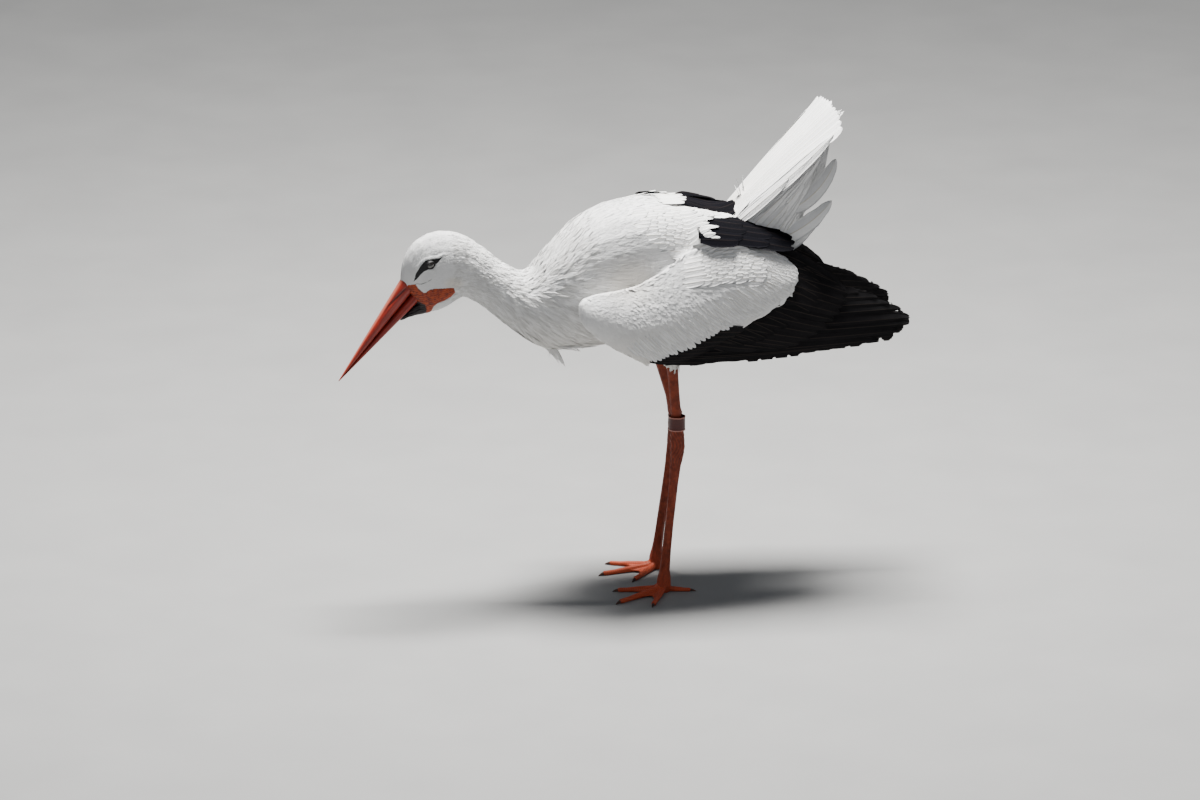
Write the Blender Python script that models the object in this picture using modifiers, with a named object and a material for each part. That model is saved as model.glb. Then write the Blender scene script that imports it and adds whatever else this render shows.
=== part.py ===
"""A white stork standing with its neck stretched forward and down, its wings drooped and its tail cocked.

Metres, +Z up. The bird faces -X and its left side faces -Y, so the plane y = 0 is its mirror plane but for
the legs, of which the right one stands further back and is bent more, the ring on the left one, and a few loose
plumes. It stands on z = 0, and the last step sets the origin under the middle of its box.
Each sub-part is one closed solid. Feathers lie over each other in layers, from the outside in: scapulars,
wing coverts, secondaries, primaries. A layer is cut by what lies over it and by the trunk, less a thin gap.
"""

from math import atan2, cos, pi, radians, sin

import bmesh
import bpy
from mathutils import Vector

# Driving dimensions, in metres.
GAP = 0.0003  # between neighbours, so that 32-bit meshes touch but don't overlap
BODY_SIDES = 20  # points round the body
SHANK_TOP = 0.352  # height at which the bare part of the leg leaves its feathers
FEET = {"left": (0.0, -0.052), "right": (0.0150, 0.0540)}  # the toe joints, x and y
BILL_TIP = (-0.4845, 0.3490)
BILL_BASE_TOP = (-0.3890, 0.4985)
BILL_BASE_BOTTOM = (-0.3610, 0.4685)
MOUTH_LINE = 0.60  # how far down the bill's depth the two mandibles meet
EYE = (-0.3480, 0.0200, 0.5280)  # the left eye's is at -y
EYE_RADIUS = 0.0085
RECTRICES = 12
BODY_END = 22.0  # the last place on the body, counted in stations
NECK_START = 6.0
TRUNK_START = 11.0

# The body from the bill to the tail root. Each row is a slanting section: its top point (x, z), its bottom
# point (x, z), half its width, how far down it is widest, and how square its shoulders are (2 is an ellipse).
BODY = [
    (-0.3885, 0.4995, -0.3480, 0.4465, 0.0130, 0.48, 2.0),
    (-0.3865, 0.5200, -0.3360, 0.4490, 0.0205, 0.46, 2.0),
    (-0.3790, 0.5425, -0.3250, 0.4520, 0.0250, 0.44, 2.0),
    (-0.3640, 0.5600, -0.3160, 0.4560, 0.0275, 0.45, 2.0),
    (-0.3380, 0.5715, -0.3080, 0.4610, 0.0285, 0.47, 2.0),
    (-0.3060, 0.5690, -0.3015, 0.4655, 0.0288, 0.49, 2.0),
    (-0.2780, 0.5545, -0.2950, 0.4675, 0.0285, 0.50, 2.0),
    (-0.2570, 0.5370, -0.2880, 0.4665, 0.0285, 0.50, 2.0),
    (-0.2380, 0.5205, -0.2720, 0.4560, 0.0300, 0.50, 2.0),
    (-0.2200, 0.5080, -0.2555, 0.4425, 0.0330, 0.50, 2.0),
    (-0.2030, 0.5005, -0.2370, 0.4265, 0.0385, 0.50, 2.0),
    (-0.1860, 0.5060, -0.2170, 0.4090, 0.0460, 0.50, 2.0),
    (-0.1690, 0.5260, -0.1970, 0.3930, 0.0535, 0.48, 2.1),
    (-0.1460, 0.5500, -0.1740, 0.3810, 0.0605, 0.46, 2.2),
    (-0.1190, 0.5720, -0.1440, 0.3780, 0.0680, 0.45, 2.3),
    (-0.0860, 0.5890, -0.1060, 0.3810, 0.0740, 0.44, 2.5),
    (-0.0480, 0.5965, -0.0600, 0.3830, 0.0770, 0.43, 2.7),
    (-0.0090, 0.5980, -0.0140, 0.3850, 0.0765, 0.43, 2.8),
    (0.0290, 0.5920, 0.0270, 0.3900, 0.0720, 0.44, 2.7),
    (0.0640, 0.5810, 0.0650, 0.4030, 0.0630, 0.46, 2.4),
    (0.0940, 0.5730, 0.0960, 0.4200, 0.0530, 0.46, 2.2),
    (0.1190, 0.5790, 0.1250, 0.4560, 0.0410, 0.45, 2.0),
    (0.1360, 0.5840, 0.1450, 0.5000, 0.0280, 0.45, 2.0),
]

# Feather layers of the left wing, from front to back. Each rib is x, the heights of its top and bottom
# edge, how far out each edge stands, how much the middle bows out beyond them, and its thickness.
COVERTS = [
    (-0.1410, 0.4750, 0.4540, 0.107, 0.109, 0.002, 0.018),
    (-0.1350, 0.4830, 0.4400, 0.105, 0.112, 0.006, 0.028),
    (-0.1160, 0.4875, 0.4225, 0.102, 0.114, 0.011, 0.034),
    (-0.0880, 0.4895, 0.4030, 0.100, 0.115, 0.013, 0.036),
    (-0.0500, 0.4950, 0.3820, 0.097, 0.115, 0.015, 0.036),
    (-0.0120, 0.5120, 0.3735, 0.092, 0.114, 0.016, 0.034),
    (0.0250, 0.5350, 0.3850, 0.086, 0.114, 0.018, 0.030),
    (0.0700, 0.5530, 0.4020, 0.084, 0.112, 0.018, 0.024),
    (0.1100, 0.5510, 0.4190, 0.083, 0.108, 0.017, 0.018),
    (0.1500, 0.5385, 0.4380, 0.083, 0.104, 0.014, 0.013),
    (0.1830, 0.5200, 0.4590, 0.083, 0.099, 0.008, 0.009),
    (0.1990, 0.5020, 0.4800, 0.084, 0.092, 0.003, 0.006),
]
SECONDARIES = [
    (0.0100, 0.5240, 0.4200, 0.080, 0.098, 0.010, 0.016),
    (0.0400, 0.5400, 0.3960, 0.076, 0.103, 0.012, 0.014),
    (0.0900, 0.5480, 0.3820, 0.073, 0.102, 0.013, 0.012),
    (0.1400, 0.5460, 0.3770, 0.071, 0.097, 0.014, 0.011),
    (0.1830, 0.5280, 0.3750, 0.069, 0.091, 0.014, 0.010),
    (0.2180, 0.5060, 0.3840, 0.067, 0.086, 0.013, 0.008),
    (0.2440, 0.4840, 0.4050, 0.065, 0.080, 0.010, 0.006),
    (0.2640, 0.4690, 0.4260, 0.064, 0.074, 0.006, 0.005),
    (0.2780, 0.4590, 0.4430, 0.063, 0.067, 0.002, 0.004),
]
PRIMARIES = [
    (-0.0360, 0.3990, 0.3780, 0.106, 0.109, 0.001, 0.010),
    (-0.0100, 0.4160, 0.3700, 0.102, 0.108, 0.003, 0.013),
    (0.0400, 0.4300, 0.3665, 0.094, 0.106, 0.005, 0.012),
    (0.1000, 0.4450, 0.3645, 0.084, 0.100, 0.007, 0.010),
    (0.1600, 0.4560, 0.3630, 0.074, 0.091, 0.008, 0.009),
    (0.2200, 0.4620, 0.3645, 0.066, 0.082, 0.008, 0.008),
    (0.2700, 0.4620, 0.3665, 0.060, 0.075, 0.008, 0.007),
    (0.3150, 0.4470, 0.3680, 0.057, 0.069, 0.006, 0.005),
    (0.3450, 0.4290, 0.3700, 0.056, 0.065, 0.004, 0.004),
    (0.3640, 0.4150, 0.3820, 0.055, 0.062, 0.002, 0.003),
    (0.3790, 0.4020, 0.3930, 0.055, 0.058, 0.001, 0.002),
]
THIN_RIM = 0.12  # share of a layer's thickness that is left at its edges
# The long black feathers of the shoulder lie as a roof: here the top edge is the one near the spine.
SCAPULARS = [
    (0.0420, 0.5920, 0.5560, 0.032, 0.086, 0.010, 0.014),
    (0.0600, 0.5890, 0.5560, 0.029, 0.090, 0.011, 0.015),
    (0.0850, 0.5810, 0.5520, 0.029, 0.091, 0.011, 0.014),
    (0.1200, 0.5720, 0.5440, 0.034, 0.092, 0.010, 0.011),
    (0.1500, 0.5650, 0.5370, 0.041, 0.091, 0.008, 0.008),
    (0.1750, 0.5560, 0.5300, 0.049, 0.087, 0.005, 0.006),
    (0.1920, 0.5430, 0.5290, 0.058, 0.080, 0.002, 0.004),
]

# The tail fan, from root to tip: x, z, half its width, thickness.
TAIL = [
    (0.0980, 0.5560, 0.028, 0.026),
    (0.1250, 0.5850, 0.036, 0.022),
    (0.1600, 0.6200, 0.049, 0.014),
    (0.2000, 0.6590, 0.064, 0.008),
    (0.2400, 0.6960, 0.078, 0.005),
    (0.2700, 0.7250, 0.088, 0.002),
]
TAIL_ARCH = 0.012  # how much the fan's middle stands above its edges at the tip
TAIL_NOTCH = 0.006  # depth of the notch between two feather tips

# Soft feathers under the tail: top point, bottom point, half width.
UNDERTAIL = [
    (0.0980, 0.5600, 0.1080, 0.4560, 0.0420),
    (0.1280, 0.5850, 0.1480, 0.4860, 0.0450),
    (0.1620, 0.6150, 0.1860, 0.5160, 0.0460),
    (0.1960, 0.6450, 0.2210, 0.5480, 0.0430),
    (0.2260, 0.6710, 0.2480, 0.5960, 0.0350),
    (0.2480, 0.6900, 0.2620, 0.6420, 0.0220),
    (0.2600, 0.6990, 0.2680, 0.6760, 0.0080),
]

# Feathered thigh: x and y from the toe joint, height, half length fore and aft, half width.
THIGH = [
    (-0.0120, -0.0080, 0.4350, 0.0440, 0.0260),
    (-0.0080, -0.0050, 0.4100, 0.0380, 0.0250),
    (0.0000, -0.0025, 0.3850, 0.0280, 0.0205),
    (0.0080, -0.0010, 0.3650, 0.0180, 0.0150),
    (0.0120, 0.0, SHANK_TOP + 2 * GAP, 0.0120, 0.0110),
]
# Bare leg: height, how far its middle is behind the foot, half thickness fore and aft, half width.
SHANK = [
    (SHANK_TOP, 0.0125, 0.0085, 0.0078),
    (0.3200, 0.0150, 0.0078, 0.0070),
    (0.2800, 0.0180, 0.0078, 0.0070),
    (0.2640, 0.0191, 0.0087, 0.0077),
    (0.2520, 0.0198, 0.0110, 0.0086),
    (0.2400, 0.0205, 0.0117, 0.0090),
    (0.2250, 0.0205, 0.0122, 0.0092),
]
TARSUS_ROWS = [
    (0.2250, 0.0205, 0.0122, 0.0092),
    (0.2100, 0.0195, 0.0112, 0.0085),
    (0.1900, 0.0170, 0.0088, 0.0070),
    (0.1500, 0.0130, 0.0075, 0.0060),
    (0.0900, 0.0070, 0.0074, 0.0060),
    (0.0400, 0.0020, 0.0080, 0.0070),
    (0.0220, 0.0005, 0.0100, 0.0092),
    (0.0100, 0.0000, 0.0112, 0.0105),
    (0.0000, 0.0000, 0.0090, 0.0090),
]
# How much further behind the foot a leg's middle lies, and its slope forward above the ankle.
BEND = {"left": (1.0, 0.0), "right": (1.45, 0.20)}
ANKLE = 0.250

# The ring on the left leg, a band with a rim round each end, which rests on the ankle.
RING_LOW = 0.2526
RING_HEIGHT = 0.0215
RING_BORE = 0.0112
RING_WALL = 0.0012
RIM_HEIGHT = 0.0020
RIM_OUT = 0.0004
RING_SIDES = 24

# Toes: name, turn from straight ahead (out is positive), length without the claw, half thickness at its root.
TOES = [
    ("outer", 50, 0.056, 0.0056),
    ("middle", 14, 0.072, 0.0060),
    ("inner", -24, 0.054, 0.0056),
    ("hind", 152, 0.026, 0.0048),
]
TOE_START = 0.0125  # a toe leaves the foot this far from its middle
TOE_JOINTS = 3.0  # swellings along a toe
CLAW = 0.010
FOOT_TURN = {"left": 13, "right": -24}  # the whole foot, outwards in degrees
PLUMES = [
    # name, then root x, y, z, tip x, y, z, and half width
    ("breast_plume_1", -0.1830, -0.0050, 0.3880, -0.1390, -0.0040, 0.3490, 0.0060),
    ("breast_plume_2", -0.1640, 0.0120, 0.3860, -0.1300, 0.0140, 0.3670, 0.0055),
    ("breast_plume_3", -0.1480, -0.0150, 0.3850, -0.1060, -0.0170, 0.3740, 0.0045),
    ("undertail_plume_1", 0.2200, -0.0280, 0.6300, 0.2680, -0.0400, 0.6510, 0.0060),
    ("undertail_plume_2", 0.2050, -0.0330, 0.5750, 0.2600, -0.0400, 0.5950, 0.0080),
    ("undertail_plume_3", 0.1800, 0.0150, 0.5350, 0.2250, 0.0200, 0.5400, 0.0080),
]

SKINS = {
    # name: colour, roughness
    "white_feather": ((0.86, 0.86, 0.85), 0.75),
    "black_feather": ((0.012, 0.012, 0.016), 0.45),
    "bill_red": ((0.52, 0.07, 0.03), 0.35),
    "throat_black": ((0.03, 0.015, 0.015), 0.5),
    "leg_red": ((0.45, 0.08, 0.04), 0.5),
    "claw_horn": ((0.10, 0.05, 0.04), 0.4),
    "ring_plastic": ((0.05, 0.012, 0.010), 0.45),
    "eye_dark": ((0.01, 0.008, 0.008), 0.08),
}


def clear_scene():
    for obj in list(bpy.data.objects):
        bpy.data.objects.remove(obj)


def make_materials():
    made = {}
    for name, (colour, roughness) in SKINS.items():
        material = bpy.data.materials.new(name)
        material.use_nodes = True
        shader = material.node_tree.nodes["Principled BSDF"]
        shader.inputs["Base Color"].default_value = (*colour, 1.0)
        shader.inputs["Roughness"].default_value = roughness
        shader.inputs["Metallic"].default_value = 0.0
        made[name] = material
    return made


def make_collection(name):
    collection = bpy.data.collections.new(name)
    bpy.context.scene.collection.children.link(collection)
    return collection


clear_scene()
MATERIALS = make_materials()
STORK = make_collection("white_stork")
CUTTERS = make_collection("cutters")


# Curves through stations.


def between(rows, place):
    """The row at a fractional place, on a smooth curve through all the rows."""
    last = len(rows) - 1
    i = min(int(place), last - 1)
    t = place - i
    a, b = rows[i], rows[i + 1]
    before, after = rows[max(i - 1, 0)], rows[min(i + 2, last)]
    found = []
    for p0, p1, p2, p3 in zip(before, a, b, after):
        m1, m2 = (p2 - p0) / 2, (p3 - p1) / 2
        found.append(
            (2 * t**3 - 3 * t**2 + 1) * p1
            + (t**3 - 2 * t**2 + t) * m1
            + (3 * t**2 - 2 * t**3) * p2
            + (t**3 - t**2) * m2
        )
    return found


def places(start, end, steps):
    return [start + (end - start) * i / steps for i in range(steps + 1)]


def rounded(value, squareness):
    """A sine or cosine pushed outwards, which squares an ellipse's shoulders."""
    return (1 if value >= 0 else -1) * abs(value) ** (2 / squareness)


# Meshes.


def finish_mesh(name, bm, material):
    # Split twisted faces now, so that a cutter made from this mesh has the same diagonals.
    bmesh.ops.triangulate(bm, faces=bm.faces)
    bmesh.ops.recalc_face_normals(bm, faces=bm.faces)
    mesh = bpy.data.meshes.new(name)
    bm.to_mesh(mesh)
    bm.free()
    mesh.materials.append(MATERIALS[material])
    mesh.shade_smooth()
    mesh.set_sharp_from_angle(angle=radians(50))
    obj = bpy.data.objects.new(name, mesh)
    STORK.objects.link(obj)
    return obj


def loft(name, rings, material):
    """A closed solid through rings of points, with a flat cap on each end."""
    bm = bmesh.new()
    rows = [[bm.verts.new(p) for p in ring] for ring in rings]
    sides = len(rows[0])
    for low, high in zip(rows, rows[1:]):
        for j in range(sides):
            k = (j + 1) % sides
            bm.faces.new((low[j], low[k], high[k], high[j]))
    bm.faces.new(rows[0][::-1])
    bm.faces.new(rows[-1])
    return finish_mesh(name, bm, material)


def plate(name, outer, inner, material):
    """A closed solid between two grids of points, which are joined round their rims."""
    bm = bmesh.new()
    sheets = [[[bm.verts.new(p) for p in row] for row in grid] for grid in (outer, inner)]
    rows, columns = len(outer), len(outer[0])
    for sheet in sheets:
        for i in range(rows - 1):
            for j in range(columns - 1):
                corners = sheet[i][j], sheet[i + 1][j], sheet[i + 1][j + 1], sheet[i][j + 1]
                bm.faces.new(corners)
    rim = [(0, j) for j in range(columns)]
    rim += [(i, columns - 1) for i in range(1, rows)]
    rim += [(rows - 1, j) for j in range(columns - 2, -1, -1)]
    rim += [(i, 0) for i in range(rows - 2, 0, -1)]
    for (a, b), (c, d) in zip(rim, rim[1:] + rim[:1]):
        bm.faces.new((sheets[0][a][b], sheets[0][c][d], sheets[1][c][d], sheets[1][a][b]))
    return finish_mesh(name, bm, material)


def grown_cutter(obj, gap=GAP):
    """A hidden copy of a solid, larger by the gap all round, which cuts its neighbours."""
    bm = bmesh.new()
    bm.from_mesh(obj.data)
    bm.normal_update()
    moves = [(v, v.normal * gap * min(v.calc_shell_factor(), 2.0)) for v in bm.verts]
    for v, move in moves:
        v.co += move
    mesh = bpy.data.meshes.new(obj.name + "_cutter")
    bm.to_mesh(mesh)
    bm.free()
    cutter = bpy.data.objects.new(obj.name + "_cutter", mesh)
    cutter.hide_render = True
    cutter.display_type = "WIRE"
    CUTTERS.objects.link(cutter)
    return cutter


def cut(obj, *cutters):
    for cutter in cutters:
        modifier = obj.modifiers.new(cutter.name, "BOOLEAN")
        modifier.operation = "DIFFERENCE"
        modifier.solver = "EXACT"
        modifier.object = cutter


# Body.


def section(top, bottom, half_width, widest, squareness, sides):
    """A ring in the slanting plane that holds top, bottom and the Y axis."""
    top, bottom = Vector((top[0], 0, top[1])), Vector((bottom[0], 0, bottom[1]))
    up = top - bottom
    centre = top - up * widest
    ring = []
    for i in range(sides):
        angle = 2 * pi * i / sides
        rise = rounded(cos(angle), squareness)
        share = widest if rise > 0 else 1 - widest
        across = Vector((0, half_width * rounded(sin(angle), squareness), 0))
        ring.append(centre + up * rise * share + across)
    return ring


def body_ring(place):
    row = between(BODY, place)
    return section(row[0:2], row[2:4], row[4], row[5], row[6], BODY_SIDES)


def make_body():
    seam = 0.008  # half of the thin cut between two lengths, in stations
    spans = {
        "head": (0.0, NECK_START - seam, 10),
        "neck": (NECK_START + seam, TRUNK_START - seam, 7),
        "trunk": (TRUNK_START + seam, BODY_END, 15),
    }
    made = {}
    for name, (start, end, steps) in spans.items():
        rings = [body_ring(place) for place in places(start, end, steps)]
        made[name] = loft(name, rings, "white_feather")
    return made


def ball(centre, radius):
    bm = bmesh.new()
    bmesh.ops.create_uvsphere(bm, u_segments=10, v_segments=7, radius=radius)
    bmesh.ops.translate(bm, vec=centre, verts=bm.verts)
    return bm


def make_eye(side, sign, head):
    """A ball that shows through a round opening in the head."""
    x, y, z = EYE
    name = f"eye_{side}"
    eye = finish_mesh(name, ball((x, sign * y, z), EYE_RADIUS), "eye_dark")
    cut(head, grown_cutter(eye))


# Bill and bare throat.


def lerp(a, b, t):
    return tuple(p + (q - p) * t for p, q in zip(a, b))


def bill_ring(t, top_share, bottom_share, half_width, squareness, sides=12):
    """A ring across the bill, between two shares of its depth, at t from its base to its tip."""
    top, bottom = lerp(BILL_BASE_TOP, BILL_TIP, t), lerp(BILL_BASE_BOTTOM, BILL_TIP, t)
    return section(
        lerp(top, bottom, top_share), lerp(top, bottom, bottom_share), half_width, 0.55, squareness, sides
    )


def make_bill(head_cutter):
    """Two mandibles that taper to the tip, with the mouth's gap a share of their depth."""
    start, end, steps = 0.004, 0.985, 8
    base_half_width = 0.0118
    for name, top_share, bottom_share in (
        ("bill_upper", 0.0, MOUTH_LINE - 0.006),
        ("bill_lower", MOUTH_LINE + 0.006, 1.0),
    ):
        rings = []
        for t in places(start, end, steps):
            half_width = base_half_width * (1 - t) ** 0.8 + 0.0006
            rings.append(bill_ring(t, top_share, bottom_share, half_width, 2.3))
        mandible = loft(name, rings, "bill_red")
        cut(mandible, head_cutter)
    return grown_cutter(mandible)


def make_throat():
    """The bare skin that hangs between the two sides of the lower mandible."""
    rows = [
        # top point, bottom point, half width
        (-0.3600, 0.4675, -0.3490, 0.4465, 0.0100),
        (-0.3695, 0.4590, -0.3650, 0.4450, 0.0085),
        (-0.3795, 0.4500, -0.3785, 0.4410, 0.0060),
        (-0.3905, 0.4405, -0.3910, 0.4365, 0.0030),
    ]
    rings = []
    for place in places(0, len(rows) - 1, 4):
        row = between(rows, place)
        rings.append(section(row[0:2], row[2:4], row[4], 0.5, 2.2, 10))
    return loft("throat_skin", rings, "throat_black")


# Wings.


def wing_grids(rows, sign, steps, columns, notch, front_rim):
    """Outer and inner grids of one feather layer. The notch sets back every other point of the rear edge, and
    the front rim is the share of the thickness that is left at the edges where the layer starts."""
    outer, inner = [], []
    last = len(rows) - 1
    for place in places(0, last, steps):
        rim = THIN_RIM + (front_rim - THIN_RIM) * (1 - place / last) ** 2
        x, top, bottom, top_out, bottom_out, bow, thickness = between(rows, place)
        # Inwards is across the rib, so that a layer which lies like a roof gets its thickness downwards.
        slope = atan2(bottom_out - top_out, top - bottom)
        inward = Vector((0, -sign * cos(slope), -sin(slope)))
        outer_row, inner_row = [], []
        for j in range(columns + 1):
            v = j / columns
            spread = (2 * v - 1) ** 2
            out = top_out + (bottom_out - top_out) * v + bow * (1 - spread)
            set_back = notch * (j % 2 == 0) * (place / last) ** 4
            here = Vector((x - set_back, sign * out, top + (bottom - top) * v))
            depth = thickness * (rim + (1 - rim) * (1 - spread**2)) + 0.0008
            outer_row.append(here)
            inner_row.append(here + inward * depth)
        outer.append(outer_row)
        inner.append(inner_row)
    return outer, inner


def make_wing(side, sign, trunk_cutter, tail_cutters):
    layers = [
        # name, ribs, steps along, columns across, notch, front rim, colour
        ("scapulars", SCAPULARS, 7, 5, 0.003, THIN_RIM, "black_feather"),
        ("coverts", COVERTS, 11, 6, 0.003, 0.42, "white_feather"),
        ("secondaries", SECONDARIES, 8, 5, 0.000, THIN_RIM, "black_feather"),
        ("primaries", PRIMARIES, 10, 4, 0.002, THIN_RIM, "black_feather"),
    ]
    above = [trunk_cutter]
    for layer, rows, steps, columns, notch, front_rim, colour in layers:
        outer, inner = wing_grids(rows, sign, steps, columns, notch, front_rim)
        feathers = plate(f"wing_{side}_{layer}", outer, inner, colour)
        cut(feathers, *above, *tail_cutters)
        above.append(grown_cutter(feathers))
    return above[1:]


# Tail.


def make_tail():
    """A fan of feathers, a little arched, whose tips make a scalloped edge."""
    columns = RECTRICES * 2
    outer, inner = [], []
    last = len(TAIL) - 1
    root, tip = TAIL[0], TAIL[-1]
    along = Vector((tip[0] - root[0], 0, tip[1] - root[1])).normalized()
    down = Vector((along.z, 0, -along.x))
    for place in places(0, last, 4):
        x, z, half_width, thickness = between(TAIL, place)
        outer_row, inner_row = [], []
        for j in range(columns + 1):
            across = 2 * j / columns - 1
            share = (place / last) ** 3
            notch = TAIL_NOTCH * (j % 2 == 0) * share
            sag = TAIL_ARCH * across**2 * place / last
            round_off = 0.018 * across**2 * share
            here = Vector((x, half_width * across, z)) - along * (notch + round_off) + down * sag
            outer_row.append(here)
            inner_row.append(here + down * (thickness * (1 - across**4) + 0.0008))
        outer.append(outer_row)
        inner.append(inner_row)
    return plate("tail", outer, inner, "white_feather")


def make_undertail(cutters):
    rings = []
    for place in places(0, len(UNDERTAIL) - 1, 5):
        row = between(UNDERTAIL, place)
        rings.append(section(row[0:2], row[2:4], row[4], 0.5, 2.0, 12))
    feathers = loft("undertail_coverts", rings, "white_feather")
    cut(feathers, *cutters)
    return feathers


def make_plumes(cutters):
    """Long pointed feathers whose tips stand free of the rest."""
    for name, x0, y0, z0, x1, y1, z1, half_width in PLUMES:
        root, tip = Vector((x0, y0, z0)), Vector((x1, y1, z1))
        along = (tip - root).normalized()
        across = Vector((0, 1, 0))
        up = along.cross(across)
        rings = []
        for t in places(0, 1, 4):
            width = half_width * (1 - t**2) + 0.0008
            ring = []
            for i in range(6):
                angle = 2 * pi * i / 6
                ring.append(root.lerp(tip, t) + across * width * cos(angle) + up * width * 0.45 * sin(angle))
            rings.append(ring)
        cut(loft(name, rings, "white_feather"), *cutters)


# Legs.


def oval(centre, half_length, half_width, sides=10):
    """A level ring."""
    ring = []
    for i in range(sides):
        angle = 2 * pi * i / sides
        ring.append(centre + Vector((half_length * cos(angle), half_width * sin(angle), 0)))
    return ring


def behind_foot(side, behind, z):
    """How far a leg's middle is behind its foot at height z."""
    reach, slope = BEND[side]
    return behind * reach - slope * max(0.0, z - ANKLE)


def make_thigh(side, sign, cutters):
    foot_x, foot_y = FEET[side]
    top, shank_behind = THIGH[0][2], SHANK[0][1]
    shift = behind_foot(side, shank_behind, SHANK_TOP) - shank_behind
    rings = []
    for place in places(0, len(THIGH) - 1, 6):
        x, y, z, half_length, half_width = between(THIGH, place)
        x += shift * (top - z) / (top - SHANK_TOP)
        rings.append(oval(Vector((foot_x + x, foot_y + sign * y, z)), half_length, half_width, 14))
    thigh = loft(f"thigh_{side}", rings, "white_feather")
    cut(thigh, *cutters)


def leg_rings(rows, side, steps, shift=0.0):
    foot_x, foot_y = FEET[side]
    rings = []
    for place in places(0, len(rows) - 1, steps):
        z, behind, half_length, half_width = between(rows, place)
        x = foot_x + behind_foot(side, behind, z)
        rings.append(oval(Vector((x, foot_y, z + shift)), half_length, half_width))
    return rings


def make_leg(side):
    loft(f"shank_{side}", leg_rings(SHANK, side, 5, GAP), "leg_red")
    tarsus = loft(f"tarsus_{side}", leg_rings(TARSUS_ROWS, side, 9), "leg_red")
    return grown_cutter(tarsus)


def make_leg_ring(side):
    """A turned band. Its profile runs down the outer side and up the bore."""
    outer = RING_BORE + RING_WALL
    rim = outer + RIM_OUT
    profile = [
        (rim, RING_HEIGHT), (rim, RING_HEIGHT - RIM_HEIGHT), (outer, RING_HEIGHT - RIM_HEIGHT),
        (outer, RIM_HEIGHT), (rim, RIM_HEIGHT), (rim, 0.0), (RING_BORE, 0.0), (RING_BORE, RING_HEIGHT),
    ]  # fmt: skip
    mesh = bpy.data.meshes.new("leg_ring")
    edges = [(i, (i + 1) % len(profile)) for i in range(len(profile))]
    mesh.from_pydata([(radius, 0.0, height) for radius, height in profile], edges, [])
    ring = bpy.data.objects.new("leg_ring", mesh)
    mesh.materials.append(MATERIALS["ring_plastic"])
    STORK.objects.link(ring)
    turned = ring.modifiers.new("turned", "SCREW")
    turned.steps = turned.render_steps = RING_SIDES
    turned.use_merge_vertices = True
    turned.merge_threshold = 0.00001
    foot_x, foot_y = FEET[side]
    behind = next(row[1] for row in SHANK if row[0] < RING_LOW)
    ring.location = (foot_x + behind_foot(side, behind, RING_LOW), foot_y, RING_LOW)


def toe_profile(t, root_radius):
    """Half thickness of a toe, which tapers and swells at its joints."""
    return root_radius * (1 - 0.42 * t) * (1 + 0.07 * cos(2 * pi * TOE_JOINTS * t))


def make_toe(side, sign, name, turn, length, root_radius, foot_cutter, done):
    """A toe and its claw. Both are flattened below, where they stand on the floor."""
    angle = radians(turn + FOOT_TURN[side])
    forward = Vector((-cos(angle), sign * sin(angle), 0))
    across = forward.cross(Vector((0, 0, 1)))
    joint = Vector((*FEET[side], 0))
    start = TOE_START * 0.2
    rings = []
    for t in places(0, 1, 5):
        radius = toe_profile(t, root_radius)
        height = radius * 0.86 + 0.0045 * max(0.0, 1 - 3.2 * t) ** 2
        centre = joint + forward * (start + (TOE_START + length - start) * t) + Vector((0, 0, height))
        rings.append(toe_ring(centre, across, radius))
    toe = loft(f"toe_{side}_{name}", rings, "leg_red")
    cut(toe, foot_cutter, *done)
    end = joint + forward * (TOE_START + length + GAP)
    tip_radius = toe_profile(1, root_radius)
    rings = []
    for t in places(0, 1, 3):
        radius = tip_radius * 0.80 * (1 - 0.82 * t**1.6)
        height = tip_radius * 0.86 * (1 - t) + radius * 0.9 * t
        rings.append(toe_ring(end + forward * CLAW * t + Vector((0, 0, height)), across, radius, 6))
    loft(f"claw_{side}_{name}", rings, "claw_horn")
    return grown_cutter(toe)


def toe_ring(centre, across, radius, sides=8):
    ring = []
    for i in range(sides):
        angle = 2 * pi * i / sides
        point = centre + across * radius * cos(angle) + Vector((0, 0, radius * sin(angle)))
        point.z = max(point.z, 0.0)
        ring.append(point)
    return ring


def centre_on_floor():
    """Moves the bird so that the origin is under the middle of its box."""
    bpy.context.view_layer.update()
    graph = bpy.context.evaluated_depsgraph_get()
    corners = []
    for obj in STORK.objects:
        shown = obj.evaluated_get(graph)
        corners += [shown.matrix_world @ Vector(c) for c in shown.bound_box]
    middle = Vector()
    for axis in (0, 1):
        values = [c[axis] for c in corners]
        middle[axis] = (min(values) + max(values)) / 2
    holder = bpy.data.objects.new("stork", None)
    STORK.objects.link(holder)
    for obj in list(STORK.objects) + list(CUTTERS.objects):
        if obj is not holder:
            obj.parent = holder
    holder.location = -middle


def main():
    body = make_body()
    trunk_cutter = grown_cutter(body["trunk"])
    neck_cutter = grown_cutter(body["neck"])
    head_cutter = grown_cutter(body["head"])
    bill_cutter = make_bill(head_cutter)
    cut(make_throat(), head_cutter, bill_cutter)
    tail = make_tail()
    cut(tail, trunk_cutter)
    tail_cutter = grown_cutter(tail)
    undertail = make_undertail([trunk_cutter, tail_cutter])
    tail_cutters = [tail_cutter, grown_cutter(undertail)]
    make_plumes([trunk_cutter, neck_cutter, *tail_cutters])
    for side, sign in (("left", -1), ("right", 1)):
        make_eye(side, sign, body["head"])
        wing_cutters = make_wing(side, sign, trunk_cutter, tail_cutters)
        make_thigh(side, sign, [trunk_cutter, *wing_cutters])
        foot_cutter = make_leg(side)
        done = []
        for name, turn, length, root_radius in TOES:
            done.append(make_toe(side, sign, name, turn, length, root_radius, foot_cutter, done))
    make_leg_ring("left")
    centre_on_floor()


main()
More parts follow.
